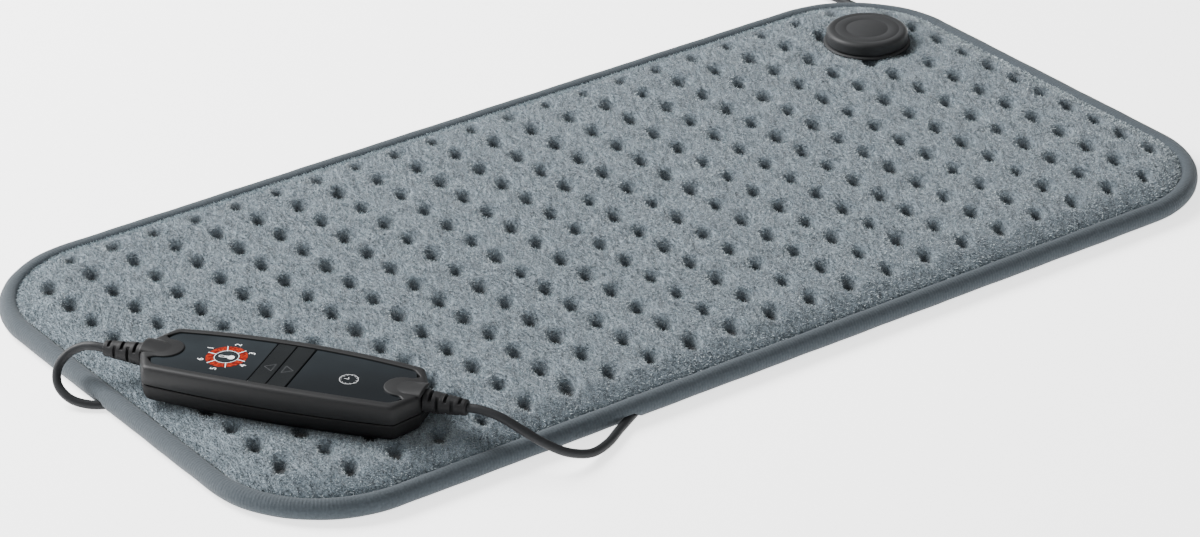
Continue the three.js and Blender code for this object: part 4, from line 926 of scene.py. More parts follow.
# %% Pile tree
def pile_tree():
    tree = Tree("pile", [
        ("Density", "NodeSocketFloat", 1000.0), ("Length", "NodeSocketFloat", 0.003),
        ("Width", "NodeSocketFloat", 0.0004), ("Lean", "NodeSocketVector", (0.3, -0.3, 0.0)),
        ("Seed", "NodeSocketInt", 3), ("Material", "NodeSocketMaterial", None),
    ])
    width, seed = tree.input["Width"], tree.input["Seed"]
    places = tree.add(
        "GeometryNodeDistributePointsOnFaces", Mesh=tree.input["Geometry"], Selection=tree.named("grows"),
        Density=tree.input["Density"], Seed=seed,
    ).outputs
    # A blade is a triangle that stands on its base, and knows how far up each corner is
    blade = tree.first("GeometryNodeMeshCircle", {"fill_type": "NGON"}, Vertices=3, Radius=1.0)
    upright = (math.pi / 2, -math.pi / 2, 0)
    stood = tree.first("GeometryNodeTransform", Geometry=blade, Rotation=upright, Translation=(0, 0, 0.5))
    height = tree.add("ShaderNodeSeparateXYZ", Vector=tree.first("GeometryNodeInputPosition")).outputs["Z"]
    tipped = tree.first(
        "GeometryNodeStoreNamedAttribute", {"data_type": "FLOAT", "domain": "POINT"},
        Geometry=stood, Name="tip", Value=height,
    )
    slim = tree.first("ShaderNodeCombineXYZ", X=width, Y=width, Z=tree.input["Length"])
    shape = tree.first("GeometryNodeTransform", Geometry=tipped, Scale=slim)
    # The lean drifts slowly from place to place, and each blade strays a little from it
    drift = tree.add("ShaderNodeTexNoise", Scale=38.0, Detail=2.0).outputs["Color"]
    centred = tree.vector("SUBTRACT", drift, (0.5, 0.5, 0.5))
    wandering = tree.vector("MULTIPLY_ADD", centred, (0.4, 0.4, 0.0), tree.input["Lean"])
    least, most = (-0.5, -0.5, -0.2), (0.5, 0.5, 0.2)
    stray = tree.first("FunctionNodeRandomValue", {"data_type": "FLOAT_VECTOR"}, _0=least, _1=most, Seed=seed)
    strewn = tree.vector("ADD", tree.vector("ADD", places["Normal"], wandering), stray)
    aligned = tree.first("FunctionNodeAlignRotationToVector", {"axis": "Z"}, Vector=strewn)
    spin = tree.first("FunctionNodeAxisAngleToRotation", Axis=(0, 0, 1), Angle=tree.random(0.0, 6.283, 11))
    turned = tree.first("FunctionNodeRotateRotation", {"rotation_space": "LOCAL"}, Rotation=aligned, Rotate_By=spin)
    shorter = tree.math("MULTIPLY_ADD", tree.named("depth"), -0.75, 1.0)
    placed = tree.first(
        "GeometryNodeInstanceOnPoints", Points=places["Points"], Instance=shape, Rotation=turned,
        Scale=tree.times(tree.random(0.65, 1.2, 7), shorter),
    )
    real = tree.first("GeometryNodeRealizeInstances", Geometry=placed)
    done = tree.first("GeometryNodeSetMaterial", Geometry=real, Material=tree.input["Material"])
    tree.feed(tree.output, {"Geometry": done})
    return tree


pile = pile_tree()
print("pile tree:", len(pile.tree.nodes), "nodes")

# %% [markdown]
# The pile is grown twice, from two seeds, as two pieces. One piece would be simpler, but it would have so
# many faces that its mesh would be thinned, and two seeds also hide any pattern in the scatter.

# %% Pile
pile_density = 1.0e6
for layer, seed in enumerate((3, 29)):
    tuft_layer = pile.grown_on(plush_top, f"plush_pile_{layer + 1}", {
        "Density": pile_density, "Length": 0.0012, "Width": 0.00022, "Lean": (-0.55, -0.8, 0.0),
        "Seed": seed, "Material": pile_look,
    }, "pad", "plush")
    print(tuft_layer.name, len(tuft_layer.data.polygons), "blades")

# %% [markdown]
# Below the quilt lie a soft wadding and a thin backing cloth. They could be flat sheets, because hardly
# anything of them shows, but the leads run beneath them. So both arch over the leads, and the backing also
# rises over the coupling and its plug.

# %% Wadding and backing
welt_height = 5.0
backing_thickness = 0.8
coupling_lift = 6.2
plug_cover_middle = coupling_place - [49, 0]
plug_cover_half = np.array([36, 7])
wadding_inset = 3.2
wadding_bottom = 1.1
wadding_top = 6.9

xy, quads = pad_grid(layer_inset, 2.6)
past_plug = (np.abs(xy - plug_cover_middle) - plug_cover_half).max(axis=1)
over_coupling = np.maximum(smoothstep(2, -1, past_plug), smoothstep(21, 18.5, past_coupling(xy)))
low = np.maximum(layer_arch(xy, 2.5, welt_height), coupling_lift * over_coupling)
slab("backing_cloth", xy, quads, low, low + backing_thickness, backing_look, "bottom_cover")
xy, quads = pad_grid(layer_inset + wadding_inset, 5.0)
low = wadding_bottom + layer_arch(xy, 4.5, welt_height)
slab("wadding_fill", xy, quads, low, wadding_top, wadding_look, "lower_wadding")


print("layers under the quilt: 2")

# %% [markdown]
# A round roll of cloth is sewn over the cut edges, right round the pad. A bevelled curve along the outline
# would be quick, but a stuffed roll is slightly uneven, and this one rises where a lead passes below. So its
# rings are shaped one by one, and each point keeps how far along the roll it lies, for the ribs in its
# material.

# %% Piping
binding_diameter = 10.2
binding_sides = 20


def piping_line(inset, spacing):
    """Points along the pad's outline, drawn in, with the outward way at each."""
    radius = pad_corner_radius - inset
    corners = corner_centre * [(1, 1), (-1, 1), (-1, -1), (1, -1)]
    places, ways = [], []
    for turn, (corner, after) in enumerate(zip(corners, np.roll(corners, -1, axis=0))):
        for angle in np.linspace(turn, turn + 1, int(radius * math.pi / 2 / spacing)) * math.pi / 2:
            ways.append(way_at(angle))
            places.append(corner + radius * ways[-1])
        start, end = places[-1], after + radius * ways[-1]
        straight = int(np.linalg.norm(end - start) / spacing)
        places += [start + (end - start) * share for share in np.arange(1, straight) / straight]
        ways += [ways[-1]] * (straight - 1)
    return np.array(places), np.array(ways)


def piping_roll():
    """A round, slightly uneven roll that arches over the leads."""
    places, ways = piping_line(binding_diameter / 2, 2.0)
    cos, sin = circle(binding_sides)
    travelled = np.r_[0, np.cumsum(line_steps(places))]
    rings = []
    for place, way, run in zip(places, ways, travelled):
        soft = 1 + 0.012 * math.sin(run / 9.0) + 0.008 * math.sin(run / 3.7 + 1)
        spot = place + way * (cos * binding_diameter / 2 * soft)[:, None]
        height = np.clip(binding_diameter / 2 * (1 + sin * soft), 0.05, binding_diameter + 0.3)
        rings.append(np.c_[spot, np.maximum(height, layer_arch(spot, 2.5, welt_height, 1.1))])
    piece = loft("piping_roll", rings, piping_look, "pad", "edge_binding", closed=True)
    add_attribute(piece, "run", np.repeat(travelled, binding_sides))
    return piece


piping = piping_roll()
print("piping:", len(piping.data.polygons), "faces")

# %% [markdown]
# The controller is a long hand piece with slightly bowed sides and clipped corners. It is drawn on its own
# axes, X along its length, and then laid on the pad. A box with bevels and booleans would have uneven faces
# where the rim meets the window pocket. So both outlines get as many points each, and everything between them
# is made of even quads.

# %% Controller outlines
parting = 9.5
upper_height = 10.6
body_width = 50.0
body_end_width = 43.0
body_entry_width = 14.0
body_corner = 8.0
bowed_half = body_half - body_corner
body_arch = 1.6
rim_width = 5.4
tongue_half = 8.8
tongue_length = 20.4
panel_recess = 0.7
keys_middle = -0.75
key_pitch = 9.9
quarter_counts = (18, 22, 44)
side_words = {-1: "left", 1: "right"}


def on_controller(points):
    return laid(points, controller_turn, controller_place)


def half_width(x):
    reach = np.abs(np.asarray(x, float))
    bow = (body_width - body_end_width) / 2
    share = np.clip((reach - bowed_half) / body_corner, 0, 1)
    bowed = body_width / 2 - bow * np.minimum(reach / bowed_half, 1) ** 2
    return np.where(reach <= bowed_half, bowed, body_end_width / 2 + (body_entry_width - body_end_width) / 2 * share)


def top_height(x):
    return parting + upper_height - body_arch * (np.asarray(x, float) / body_half) ** 2


def along_corners(stretches):
    """Points evenly along each stretch, given as a list of points."""
    line = []
    for stretch, count in zip(stretches, quarter_counts):
        stretch = np.asarray(stretch, float)
        travelled = np.r_[0, np.cumsum(line_steps(stretch))]
        for share in np.arange(count) / count:
            line.append([np.interp(share * travelled[-1], travelled, stretch[:, axis]) for axis in (0, 1)])
    return line


def side_points(start, inset):
    return [(x, float(half_width(x)) - inset) for x in np.linspace(start, 0, 40)]


def outer_quarter(inset):
    """A quarter of the body's edge, drawn in: along the end, over the clipped corner and along the side."""
    end = [(body_half - inset, 0), (body_half - inset, body_entry_width / 2 - inset * 0.4)]
    turn_x = bowed_half - inset * 0.45
    turn = (turn_x, body_end_width / 2 - inset)
    side = [turn, *(point for point in side_points(bowed_half, inset) if point[0] < turn_x)]
    return np.array([*along_corners([end, [end[1], turn], side]), [0, body_width / 2 - inset]])


def pocket_quarter(inset):
    """A quarter of the window pocket's edge: round the tongue, out along its end and along its side."""
    radius = tongue_half + inset - rim_width
    centre = body_half - tongue_length + tongue_half
    angles = np.linspace(math.pi, math.pi / 2 + 0.02, 16)
    tongue = [(centre + radius * math.cos(angle), radius * math.sin(angle)) for angle in angles]
    end_x = body_half - inset - 1.2
    tongue.append((end_x - 3.0, radius))
    turn_x = bowed_half - inset * 0.62
    corner = [tongue[-1], (end_x, radius + 2.6), (turn_x, float(half_width(bowed_half)) - inset)]
    return np.array([*along_corners([tongue, corner, side_points(turn_x, inset)]), [0, body_width / 2 - inset]])


print("controller body:", 2 * body_half, "x", body_width, "mm")

# %% [markdown]
# The body is the same on both sides and at both ends, so only a quarter of each outline is drawn. A Mirror
# modifier would do for one mesh, but the whole line is needed in many places, so the quarter is mirrored as
# points. A running mean then softens its corners, as the mould of the real shell does.

# %% Whole outlines
def outline(quarter, softness=3):
    """A whole outline from its first quarter, its corners softened by a running mean."""
    upper = np.vstack([quarter, quarter[::-1] * [-1, 1]])
    _, keep = np.unique(np.round(upper, 6), axis=0, return_index=True)
    upper = upper[np.sort(keep)]
    line = np.vstack([upper, upper[::-1][1:-1] * [1, -1]])
    for _ in range(softness):
        line = (np.roll(line, 1, axis=0) + 2 * line + np.roll(line, -1, axis=0)) / 4
    return line


def body_edge(inset, softness=3):
    return outline(outer_quarter(inset), softness)


def upper_half(line):
    half = line[line[:, 1] >= -1e-6]
    return half[np.argsort(half[:, 0])]


print("controller outline:", len(body_edge(0.0)), "points")

# %% [markdown]
# The upper shell is one moulding: up the side, over a soft shoulder, across the rim and down into the pocket.
# Separate walls would show seams that the real shell lacks, so it is one skin through rings. The lower shell
# is a dish of the same outline with a rounded foot, and a line is left between the two, where the real shells
# part.

# %% Housing
pocket_depth = 1.9
shoulder_steps = [(0.0, 2.6), (0.12, 1.75), (0.42, 1.0), (0.95, 0.42), (1.7, 0.1), (2.5, 0.0)]
pocket_steps = [(0.55, 0.0), (0.2, 0.1), (0.05, 0.32), (0.0, pocket_depth)]
lower_steps = [
    (4.4, 0.3), (3.4, 0.3), (2.5, 0.55), (1.7, 1.2), (1.0, 2.6),
    (0.45, 5.0), (0.05, 8.3), (0.0, 8.8), (0.35, 9.2), (1.4, 9.2),
]


def raised(line, height):
    """An outline's points, at a height or at a depth below the arched top."""
    return np.c_[line, np.broadcast_to(height, len(line))]


def sunk(line, depth):
    return raised(line, top_height(line[:, 0]) - depth)


def skin(name, rings, look, node, floor):
    """A body through outlines with as many points each."""
    faces = ring_faces(len(rings), len(rings[0]), closed=False, bottom=floor, top=False)
    return mesh_object(name, on_controller(np.concatenate(rings)), faces, look, "controller", node)


def pocket_floor(line, steps_across=10):
    """The pocket's floor, as rows across an outline that is mirrored in X's axis."""
    upper = upper_half(line)
    xs, keep = np.unique(np.round(upper[:, 0], 3), return_index=True)
    ys = np.maximum(upper[keep, 1], 0.0)
    shares = np.linspace(-1, 1, steps_across)
    points = sunk(np.array([[x, y * share] for x, y in zip(xs, ys) for share in shares]), pocket_depth)
    quads = grid_quads(point_grid(len(xs), steps_across)).tolist()
    return mesh_object("pocket_floor", on_controller(points), quads, housing_look, "controller")


skin("upper_housing", [
    raised(body_edge(0.5), parting), raised(body_edge(0.0), parting + 0.4), sunk(body_edge(0.35), 3.6),
    *(sunk(body_edge(0.5 + inset), depth) for inset, depth in shoulder_steps),
    *(sunk(outline(pocket_quarter(rim_width - back)), depth) for back, depth in pocket_steps),
], rim_look, "upper_shell", floor=False)
pocket_floor(body_edge(rim_width - 1.0))
lower_rings = [raised(body_edge(inset), height) for inset, height in lower_steps]
skin("lower_housing", lower_rings, lower_look, "lower_shell", floor=True)


print("shells: upper, lower and the pocket floor")

# %% [markdown]
# At each end the upper shell rises into a half-round nose that the lead runs into. Half a cone would be
# easier, but the real one is a teardrop that fades into the rim's tongue. So its rings shrink along a quarter
# of an ellipse while they sink into the arched top.

# %% Cable noses
nose_length = 18.0
nose_radius = 6.7
nose_straight = 0.28
nose_sides = 28


def cord_nose(side):
    """The teardrop that the lead's relief runs into, rising out of the rim's tongue."""
    angles = np.linspace(0, math.pi, nose_sides)
    rings = []
    for share in np.linspace(0, 1, 26):
        round_share = math.sqrt(max(1 - max((share - nose_straight) / (1 - nose_straight), 0) ** 2, 0.0))
        radius = nose_radius * round_share * (1 - 0.1 * share)
        x = side * (body_half + 0.1 - nose_length * share)
        base = float(top_height(x)) - 0.35
        rise = max(entry_height + radius * 0.99 - base, 0.0) if share < 0.02 else 0
        peak = max(parting + 10.9 - base - share * 1.6, 0.15) * round_share
        up = base + max(peak, rise) * np.sin(angles) ** 0.9
        rings.append(np.c_[np.full(nose_sides, x), radius * np.cos(angles), up])
    faces = [*grid_quads(point_grid(len(rings), nose_sides), turned=True).tolist(), range(nose_sides)]
    name = f"cord_nose_{side_words[side]}"
    return outward(mesh_object(name, on_controller(np.concatenate(rings)), faces, rim_look, "controller"))


for side in side_words:
    print(cord_nose(side).name)

# %% [markdown]
# Glossy windows lie in the pocket on both sides of two flush keys. Flat plates would float off the arched top
# or sink into it, so each plate follows the body's arch and takes its width from the body's own outline. Its
# small chamfer catches the light, as a real edge does.

# %% Windows and keys
window_end = body_half - rim_width - 1.6
window_gap = 0.3
key_gap = 0.22
key_rise = 0.25


def plate(name, edge_inset, ends, depth, thickness, look, body, node, edge):
    """A thin plate that follows the body's arch, cut off at two places along it, with a small chamfer."""
    upper = upper_half(body_edge(edge_inset, 1))
    low, high = sorted(ends)
    xs = np.unique(np.r_[low, low + edge, np.linspace(low + edge, high - edge, 40), high - edge, high])
    rings = []
    for x, y in zip(xs, np.interp(xs, upper[:, 0], upper[:, 1])):
        at_end = x in (xs[0], xs[-1])
        top = float(top_height(x)) - depth - (edge if at_end else 0)
        foot = top + (0 if at_end else -edge)
        across = [(x, (y - edge) * share, top) for share in np.linspace(-1, 1, 12)]
        rings.append([(x, -y, foot), *across, (x, y, foot), (x, y, top - thickness), (x, -y, top - thickness)])
    loft(name, on_controller(rings), look, body, node, 30)


for side, word in side_words.items():
    ends = (keys_middle + side * key_pitch + side * window_gap, side * window_end)
    plate(
        f"{word}_window", rim_width + 0.15, ends, panel_recess, 1.0, window_look,
        "controller", f"{word}_panel", 0.25,
    )
for side, word in side_words.items():
    low = keys_middle + (side - 1) / 2 * key_pitch
    plate(
        f"{word}_key", rim_width + 0.4, (low + key_gap, low + key_pitch - key_gap), panel_recess - key_rise, 2.6,
        key_look, f"key_{word}", f"key_{word}", 0.3,
    )
print("windows and keys: ready")

# %% [markdown]
# Print and lights lie just proud of the windows. A picture on the glass would be quicker, but it would blur
# in a close-up and need a file. So each figure is made of flat strips and sectors, and every corner of a
# strip follows the arch.

# %% Flat figures
def face_points(xy, lift):
    xy = np.asarray(xy, float)
    return on_controller(np.c_[xy, top_height(xy[:, 0]) - panel_recess + lift])


def figure(name, loops, look, lift, body="controller", node=None):
    """Flat figures from outlines on the controller's face."""
    starts = np.cumsum([0, *map(len, loops)])
    faces = [range(start, stop) for start, stop in zip(starts, starts[1:])]
    return mesh_object(name, face_points(np.concatenate(loops), lift), faces, look, body, node, smooth=False)


def band(centre, inner, outer, start, stop, steps):
    """Quads of a ring's sector."""
    ways = [way_at(angle) for angle in np.linspace(start, stop, steps + 1)]
    return [
        [centre + inner * a, centre + outer * a, centre + outer * b, centre + inner * b]
        for a, b in zip(ways, ways[1:])
    ]


def whole_band(centre, inner, outer, steps):
    return band(centre, inner, outer, 0, 2 * math.pi, steps)


def stroke(start, stop, width):
    """A straight stroke as one quad."""
    start, stop = np.asarray(start, float), np.asarray(stop, float)
    along = (stop - start) / np.linalg.norm(stop - start)
    across = np.array([-along[1], along[0]]) * width / 2
    return [start - across, stop - across, stop + across, start + across]


def spoke(centre, angle, inner, outer, width):
    way = way_at(angle)
    return stroke(centre + way * inner, centre + way * outer, width)


def ring_strokes(centre, width, *ends):
    return [stroke(centre + start, centre + stop, width) for start, stop in ends]


print("a full ring:", len(whole_band(np.zeros(2), 1, 2, 72)), "strips")

# %% [markdown]
# Six lit segments stand in a ring round a small thermometer, and a fine ring with ticks and two hands marks
# the timer. An icon font would draw them too, but it may be missing on another machine, while strokes come
# out the same everywhere. They read from the controller's right-hand end, so their upright is turned a
# quarter.

# %% Level ring and timer
light_count = 6
light_turn = math.radians(80)
light_gap = 1.1
light_middle_radius = 8.3
light_lift = 0.05
print_lift = 0.06
ring_centre = np.array([-29.4, 0.0])
ring_outer = 10.4
ring_inner = 6.2
timer_centre = np.array([34.6, -2.0])
timer_radius = 4.5

half_light = math.pi / light_count - light_gap / 2 / light_middle_radius
for place in range(light_count):
    middle = light_turn + place / light_count * 2 * math.pi
    sector = band(ring_centre, ring_inner + 0.25, ring_outer - 0.25, middle - half_light, middle + half_light, 20)
    name = f"lit_segment_{place + 1}"
    figure(name, sector, light_look, light_lift, node=f"level_light_{place + 1}")

marks = whole_band(ring_centre, ring_inner - 0.38, ring_inner - 0.12, 72)
for place in range(light_count):
    angle = light_turn + (place + 0.5) / light_count * 2 * math.pi
    marks.append(spoke(ring_centre, angle, ring_inner - 0.2, ring_outer + 0.1, 0.42))
# Thermometer: a tube and its bulb, drawn as an outline with a filled stem
marks += whole_band(ring_centre + [2.3, 0], 0.0, 1.75, 32)
marks += ring_strokes(ring_centre, 0.28, ([-3.2, 0.72], [1.2, 0.72]), ([-3.2, -0.72], [1.2, -0.72]))
marks += band(ring_centre + [-3.2, 0], 0.58, 0.86, math.pi / 2, math.pi * 1.5, 14)
marks += ring_strokes(ring_centre, 0.62, ([-1.1, 0], [2.0, 0]))
# Timer: a fine ring with ticks and two hands
marks += whole_band(timer_centre, timer_radius - 0.09, timer_radius + 0.09, 64)
for tick in range(12):
    marks.append(spoke(timer_centre, tick / 12 * 2 * math.pi, timer_radius - 0.95, timer_radius - 0.3, 0.16))
marks += ring_strokes(timer_centre, 0.22, ([0, 0], [-2.4, 0.0]), ([0, 0], [-0.9, 1.9]))
figure("printed_marks", marks, print_look, print_lift)
print("figures:", len(marks), "strips")

# %% [markdown]
# Plain numbers stand round the lights, upright towards the controller's left end, and each key has a triangle
# that points to its own end. Blender's own font makes the numbers, because it is always there. Each text
# becomes a mesh at once, so that its points can follow the arch, and the triangles are three strokes each.

# %% Numbers and key marks
number_angles = (151, 86, 31, -28, -96, -154)
number_radius = 12.5
number_size = 4.6
mark_row = -3.6


def number_piece(number, angle):
    text = bpy.data.curves.new(f"number_{number}", "FONT")
    text.body = str(number)
    text.size = number_size
    text.align_x = text.align_y = "CENTER"
    mesh = evaluated_mesh(linked("number_holder", text))
    flat = np.array([vertex.co[:2] for vertex in mesh.vertices])
    faces = [tuple(face.vertices) for face in mesh.polygons]
    bpy.data.meshes.remove(mesh)
    xy = flat @ np.array([[0, 1], [-1, 0]]) + ring_centre + number_radius * way_at(math.radians(angle))
    points = face_points(xy, print_lift)
    mesh_object(f"dial_number_{number}", points, faces, print_look, "controller", smooth=False)


def key_mark(side, word):
    """A triangle's outline on a key, pointing to its own end."""
    x = keys_middle + side * key_pitch / 2
    corners = [(x + side * 2.5, mark_row), *((x - side * 2.3, mark_row + up * 3.3) for up in (1, -1))]
    loops = [stroke(a, b, 0.42) for a, b in zip(corners, corners[1:] + corners[:1])]
    figure(f"{word}_key_mark", loops, mark_look, key_rise + 0.02, f"key_{word}")


for place, angle in enumerate(number_angles):
    number_piece(place + 1, angle)
for side, word in side_words.items():
    key_mark(side, word)
print("numbers:", len(number_angles))

# %% [markdown]
# A soft tapered sleeve keeps each lead from kinking where it leaves the housing. Rows of short slots swap
# between top and sides, so that it bends every way. Booleans could cut the slots from a cone, but they leave
# thin sliver faces. Here the rings dip to the core at each slot instead, and the taper and the slots are one
# mesh.

# %% Strain reliefs
relief_root = 6.0
relief_tip = 3.9
slot_half = 0.65
slot_middles = [3.6 * row for row in range(1, 6)]
relief_core = cord_diameter / 2 + 0.4
relief_sides = 72


def relief_shape(length):
    """Rings of a slotted relief that starts at X = 0, on the X axis."""
    slot_edges = [
        middle + way * (slot_half + step) for middle in slot_middles for way in (-1, 1) for step in (0.22, 0.02, -0.1)
    ]
    ends = [0, 0.12, 0.45, 0.9, length - 0.45, length - 0.12, length]
    xs = np.unique([*ends, *np.linspace(1.1, length - 0.7, 40), *slot_edges])
    cos, sin = circle(relief_sides)
    radii = []
    for x in xs:
        outer = relief_root + (relief_tip - relief_root) * (x / length) ** 0.9
        outer -= 0.45 * (1 - min(x, 0.45) / 0.45) ** 2 + 0.4 * (1 - min(length - x, 0.45) / 0.45) ** 2
        radius = np.full(relief_sides, outer)
        for row, middle in enumerate(slot_middles):
            away = abs(x - middle)
            share = float(smoothstep(slot_half + 0.2, slot_half - 0.02, away))
            if share > 0:
                lean = np.abs(cos if row % 2 else sin)
                limit = np.where(lean > relief_core / outer, relief_core / np.maximum(lean, 1e-6), outer)
                radius = radius + (np.minimum(limit, outer) - outer) * share
            elif away - slot_half < 0.5:
                radius = radius - 0.12 * (1 - (away - slot_half) / 0.5) ** 2
        radii.append(radius)
    ring_list = zip([0, *xs, length], [0.2, *radii, 0.2])
    return np.array([np.c_[np.full(relief_sides, x), radius * cos, radius * sin] for x, radius in ring_list])


for side, word in side_words.items():
    rings = on_controller((relief_shape(relief_length) + [body_half + 0.2, 0, entry_height]) * [side, 1, 1])
    loft(f"{word}_relief", rings, relief_look, "controller", f"strain_relief_{word}", 50)
print("reliefs:", len(side_words))

# %% [markdown]
# The dark puck in the pad's corner joins the lead to the heating wire. A cylinder with a bevel would look too
# plain: the real lid has a rounded edge and faint rings, and stands on a thin flange. So both are turned
# pieces, and a few numbers of a profile give the edge, the grooves and the flange.

# %% Coupling
cap_bottom = 15.2
cap_top = 22.2
cap_fillet = 2.6
groove_depth = 0.16


def turned_piece(name, profile, node):
    loft(name, turned_rings(profile, 128) + [*coupling_place, 0], cap_look, "pad", node, 50)


rounded = [
    (22.75 + cap_fillet * (math.cos(angle) - 1), cap_top + cap_fillet * (math.sin(angle) - 1))
    for angle in np.linspace(0, math.pi / 2, 10)
]
grooves = [
    (22.4 * share + out, cap_top - down) for share in (0.80, 0.52)
    for out, down in ((0.5, 0), (0.2, groove_depth), (-0.2, groove_depth), (-0.5, 0))
]
turned_piece("coupling_lid", [
    (0.1, cap_bottom), (22.7, cap_bottom), (23.1, cap_bottom + 0.3), (23.15, cap_bottom + 1.2),
    *rounded, *grooves, (0.1, cap_top + 0.05),
], "coupling_cap")
turned_piece("coupling_ring", [
    (13.4, 13.2), (24.0, 13.2), (24.3, 13.6), (24.2, 14.5), (23.7, 14.9), (13.4, 14.9),
], "coupling_flange")
print("coupling: ready")

# %% [markdown]
# The mains lead ends in a plain flat plug with two round pins, behind the pad and out of the photograph. Its
# moulding runs from a round root to a wide flat front. A subdivided box would round all its edges alike, so
# it is a loft whose sections are squared circles, each with sizes of its own. Its sleeve is the same relief,
# turned round.

# %% Plug
plug_start = relief_length + 1
plug_length = 35.0
plug_front_half = 13.0
plug_back_half = 6.7
plug_height_half = 6.8
plug_root_half = 5.8
plug_sides = 48
pin_half_pitch = 9.3


def on_plug(points):
    return laid(points, plug_turn, plug_place)


def squircle(half_x, half_y, power_x, power_y, sides):
    cos, sin = circle(sides)
    return np.c_[half_x * np.sign(cos) * np.abs(cos) ** power_x, half_y * np.sign(sin) * np.abs(sin) ** power_y]


def plug_body():
    sections = [(0, 5.4, 5.4, 1.0)]
    for share in np.linspace(0, 1, 30):
        half_y = plug_back_half + (plug_front_half - plug_back_half) * float(smoothstep(0.05, 0.55, share))
        half_z = plug_root_half + (plug_height_half - plug_root_half) * min(share / 0.15, 1)
        front = math.sqrt(1 - max((share - 0.93) / 0.07, 0) ** 2 * 0.12)
        sections.append((0.6 + (plug_length - 1.6) * share, half_y * front, half_z * front, 0.55))
    sections.append((plug_length - 1, 10.5, 4.6, 0.55))
    rings = [
        np.c_[np.full(plug_sides, plug_start + x), squircle(half_y, half_z, power, power, plug_sides)]
        for x, half_y, half_z, power in sections
    ]
    return loft("plug_moulding", on_plug(rings), black_look, "pad", "mains_plug", 45)


def plug_pin(number, side):
    profile = [(0.1, 0), (2.0, 0), (2.0, 23.6), (1.8, 24.3), (1.3, 24.8), (0.1, 25)]
    start = [plug_start + plug_length - 6, side * pin_half_pitch, 0]
    rings = on_plug(turned_rings(profile, 32)[..., [2, 0, 1]] + start)
    return loft(f"plug_pin_{number}", rings, steel_look, "pad", f"mains_pin_{number}", 45)


plug_moulding = plug_body()
relief_rings = on_plug(relief_shape(plug_start) * [-1, 1, 1] + [plug_start, 0, 0])
plug_relief = loft("plug_relief", relief_rings, relief_look, "pad", crisp=50)
plug_pins = [plug_pin(1, -1), plug_pin(2, 1)]
print("plug:", 2 + len(plug_pins), "pieces")

# %% [markdown]
# A soft band holds the coil together. A torus would cut through the turns or float round them, so the band's
# path is a squared oval just outside the bundle's section, and it is kept off the floor. Six points round its
# own section are enough for a strip this thin.

# %% Tie
tie_turn = math.radians(62)
tie_section = [(-5.6, -0.35), (5.6, -0.35), (5.9, 0.0), (5.6, 0.35), (-5.6, 0.35), (-5.9, 0.0)]


def tie_band():
    """A soft band round the bundle, its corners rounded where it turns."""
    slack = cord_diameter / 2 + 0.7
    near_low = np.array([coil_inner - 4.2, 0.6])
    far_high = np.array([coil_outer + slack, coil_level + coil_pitch + slack])
    path = (near_low + far_high) / 2 + squircle(*(far_high - near_low) / 2, 0.35, 0.5, 40)
    rings = [
        [(along + cos * out * 0.9, across, max(up + sin * out, 0.21)) for across, out in tie_section]
        for along, up, cos, sin in np.c_[path, np.transpose(circle(40))]
    ]
    rings = laid(rings, tie_turn, [*coil_place, 0])
    return loft("tie_band", rings, black_look, "pad", "coil_tie", closed=True)


tie = tie_band()
print("tie:", len(tie.data.polygons), "faces")

# %% [markdown]
# Circuit board, screws, pins and wire come straight from the CAD. They are the right shape already and mostly
# out of sight, so remaking them would gain nothing. They only need looks: the record says which material slot
# a node has, and each slot has the same procedural material as its neighbours.

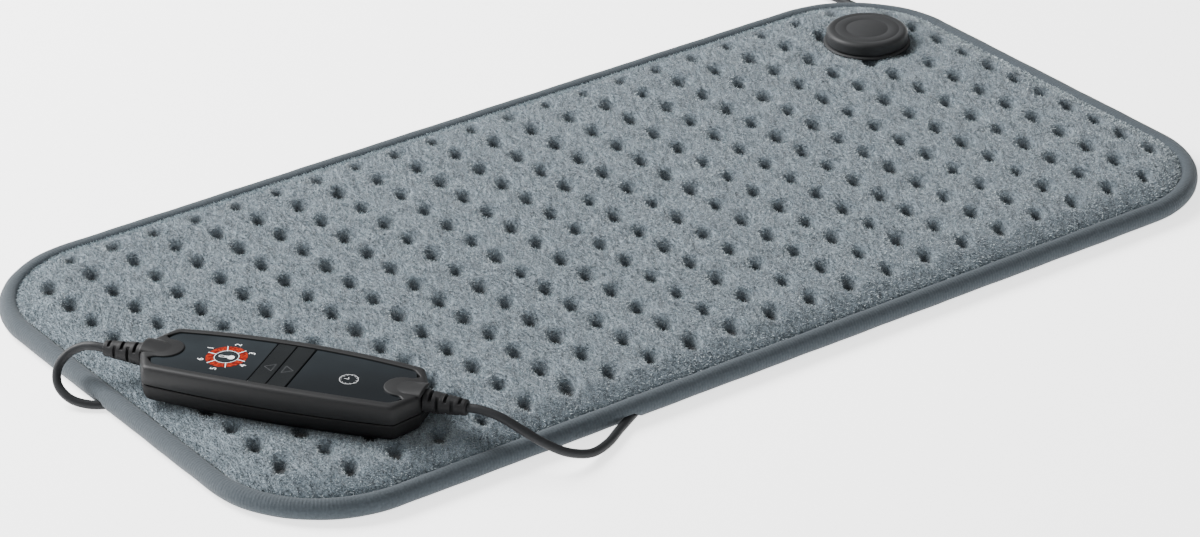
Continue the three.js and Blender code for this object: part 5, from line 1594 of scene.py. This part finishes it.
# %% Looks of the nodes that stay
slot_looks = {
    "felt": felt_look, "wire_jacket": wire_look, "lower_housing": lower_look, "housing": housing_look,
    "keys": key_look, "windows": window_look, "lights": light_look, "cord": relief_look, "circuit": board_look,
    "black_plastic": black_look, "steel": steel_look, "brass": brass_look, "diffuser": milky_look,
    "plush": plush_ground_look, "binding": piping_look, "backing": backing_look, "wadding": wadding_look,
}
node_slots = {row["node"]: row["material_slot"] for row in frame["record"]["subparts"]}
for name, node in frame["nodes"].items():
    node.data.materials.clear()
    node.data.materials.append(slot_looks[node_slots[name]])
print("nodes painted:", len(node_slots))

# %% [markdown]
# The photograph has a nearly white ground and soft shadows. A picture of a studio round the scene would light
# it too, but it needs a file. So a pale floor runs far behind the pad, one broad lamp hangs over it and two
# weaker ones fill the shadows. The floor glows a little itself, which keeps it pale out to the edge of the
# picture.

# %% Stage
floor_half = 9.0
floor_level = -0.0003


def stage_floor():
    look = Look("studio_floor")
    cloud = look.noise(2, 2)
    pale = look.blend(cloud, (0.93, 0.93, 0.93, 1), (0.96, 0.96, 0.96, 1))
    material = look.done(
        (cloud, 0.0005, 0.1), Base_Color=pale, Roughness=0.8, Emission_Color=(1, 1, 1, 1), Emission_Strength=2.0
    )
    corners = [(x * floor_half, y * floor_half, floor_level) for x, y in ((-1, -1), (1, -1), (1, 1), (-1, 1))]
    mesh_object("studio_floor", corners, [(0, 1, 2, 3)], material, None, scale=1.0)


def area_lamp(name, place, aim, size, power):
    data = bpy.data.lights.new(name, "AREA")
    data.shape = "RECTANGLE"
    data.size, data.size_y = size
    data.energy = power
    forward = (Vector(aim) - Vector(place)).normalized()
    linked(name, data).matrix_world = look_matrix(Vector(place), forward, Vector((0, 1, 0.2)))


stage_floor()
area_lamp("overhead", (-0.9, 1.7, 1.55), (0.0, 0.0, 0.0), (1.5, 1.1), 205)
area_lamp("left_fill", (-2.2, -0.3, 1.3), (-0.1, 0.0, 0.0), (1.4, 1.4), 10)
area_lamp("front_fill", (0.6, -2.2, 1.2), (0.0, 0.0, 0.0), (1.8, 1.0), 5)
world = bpy.data.worlds.new("studio")
world.use_nodes = True
world.node_tree.nodes["Background"].inputs["Color"].default_value = (1, 1, 1, 1)
world.node_tree.nodes["Background"].inputs["Strength"].default_value = 0.42
bpy.context.scene.world = world
print("stage: ready")
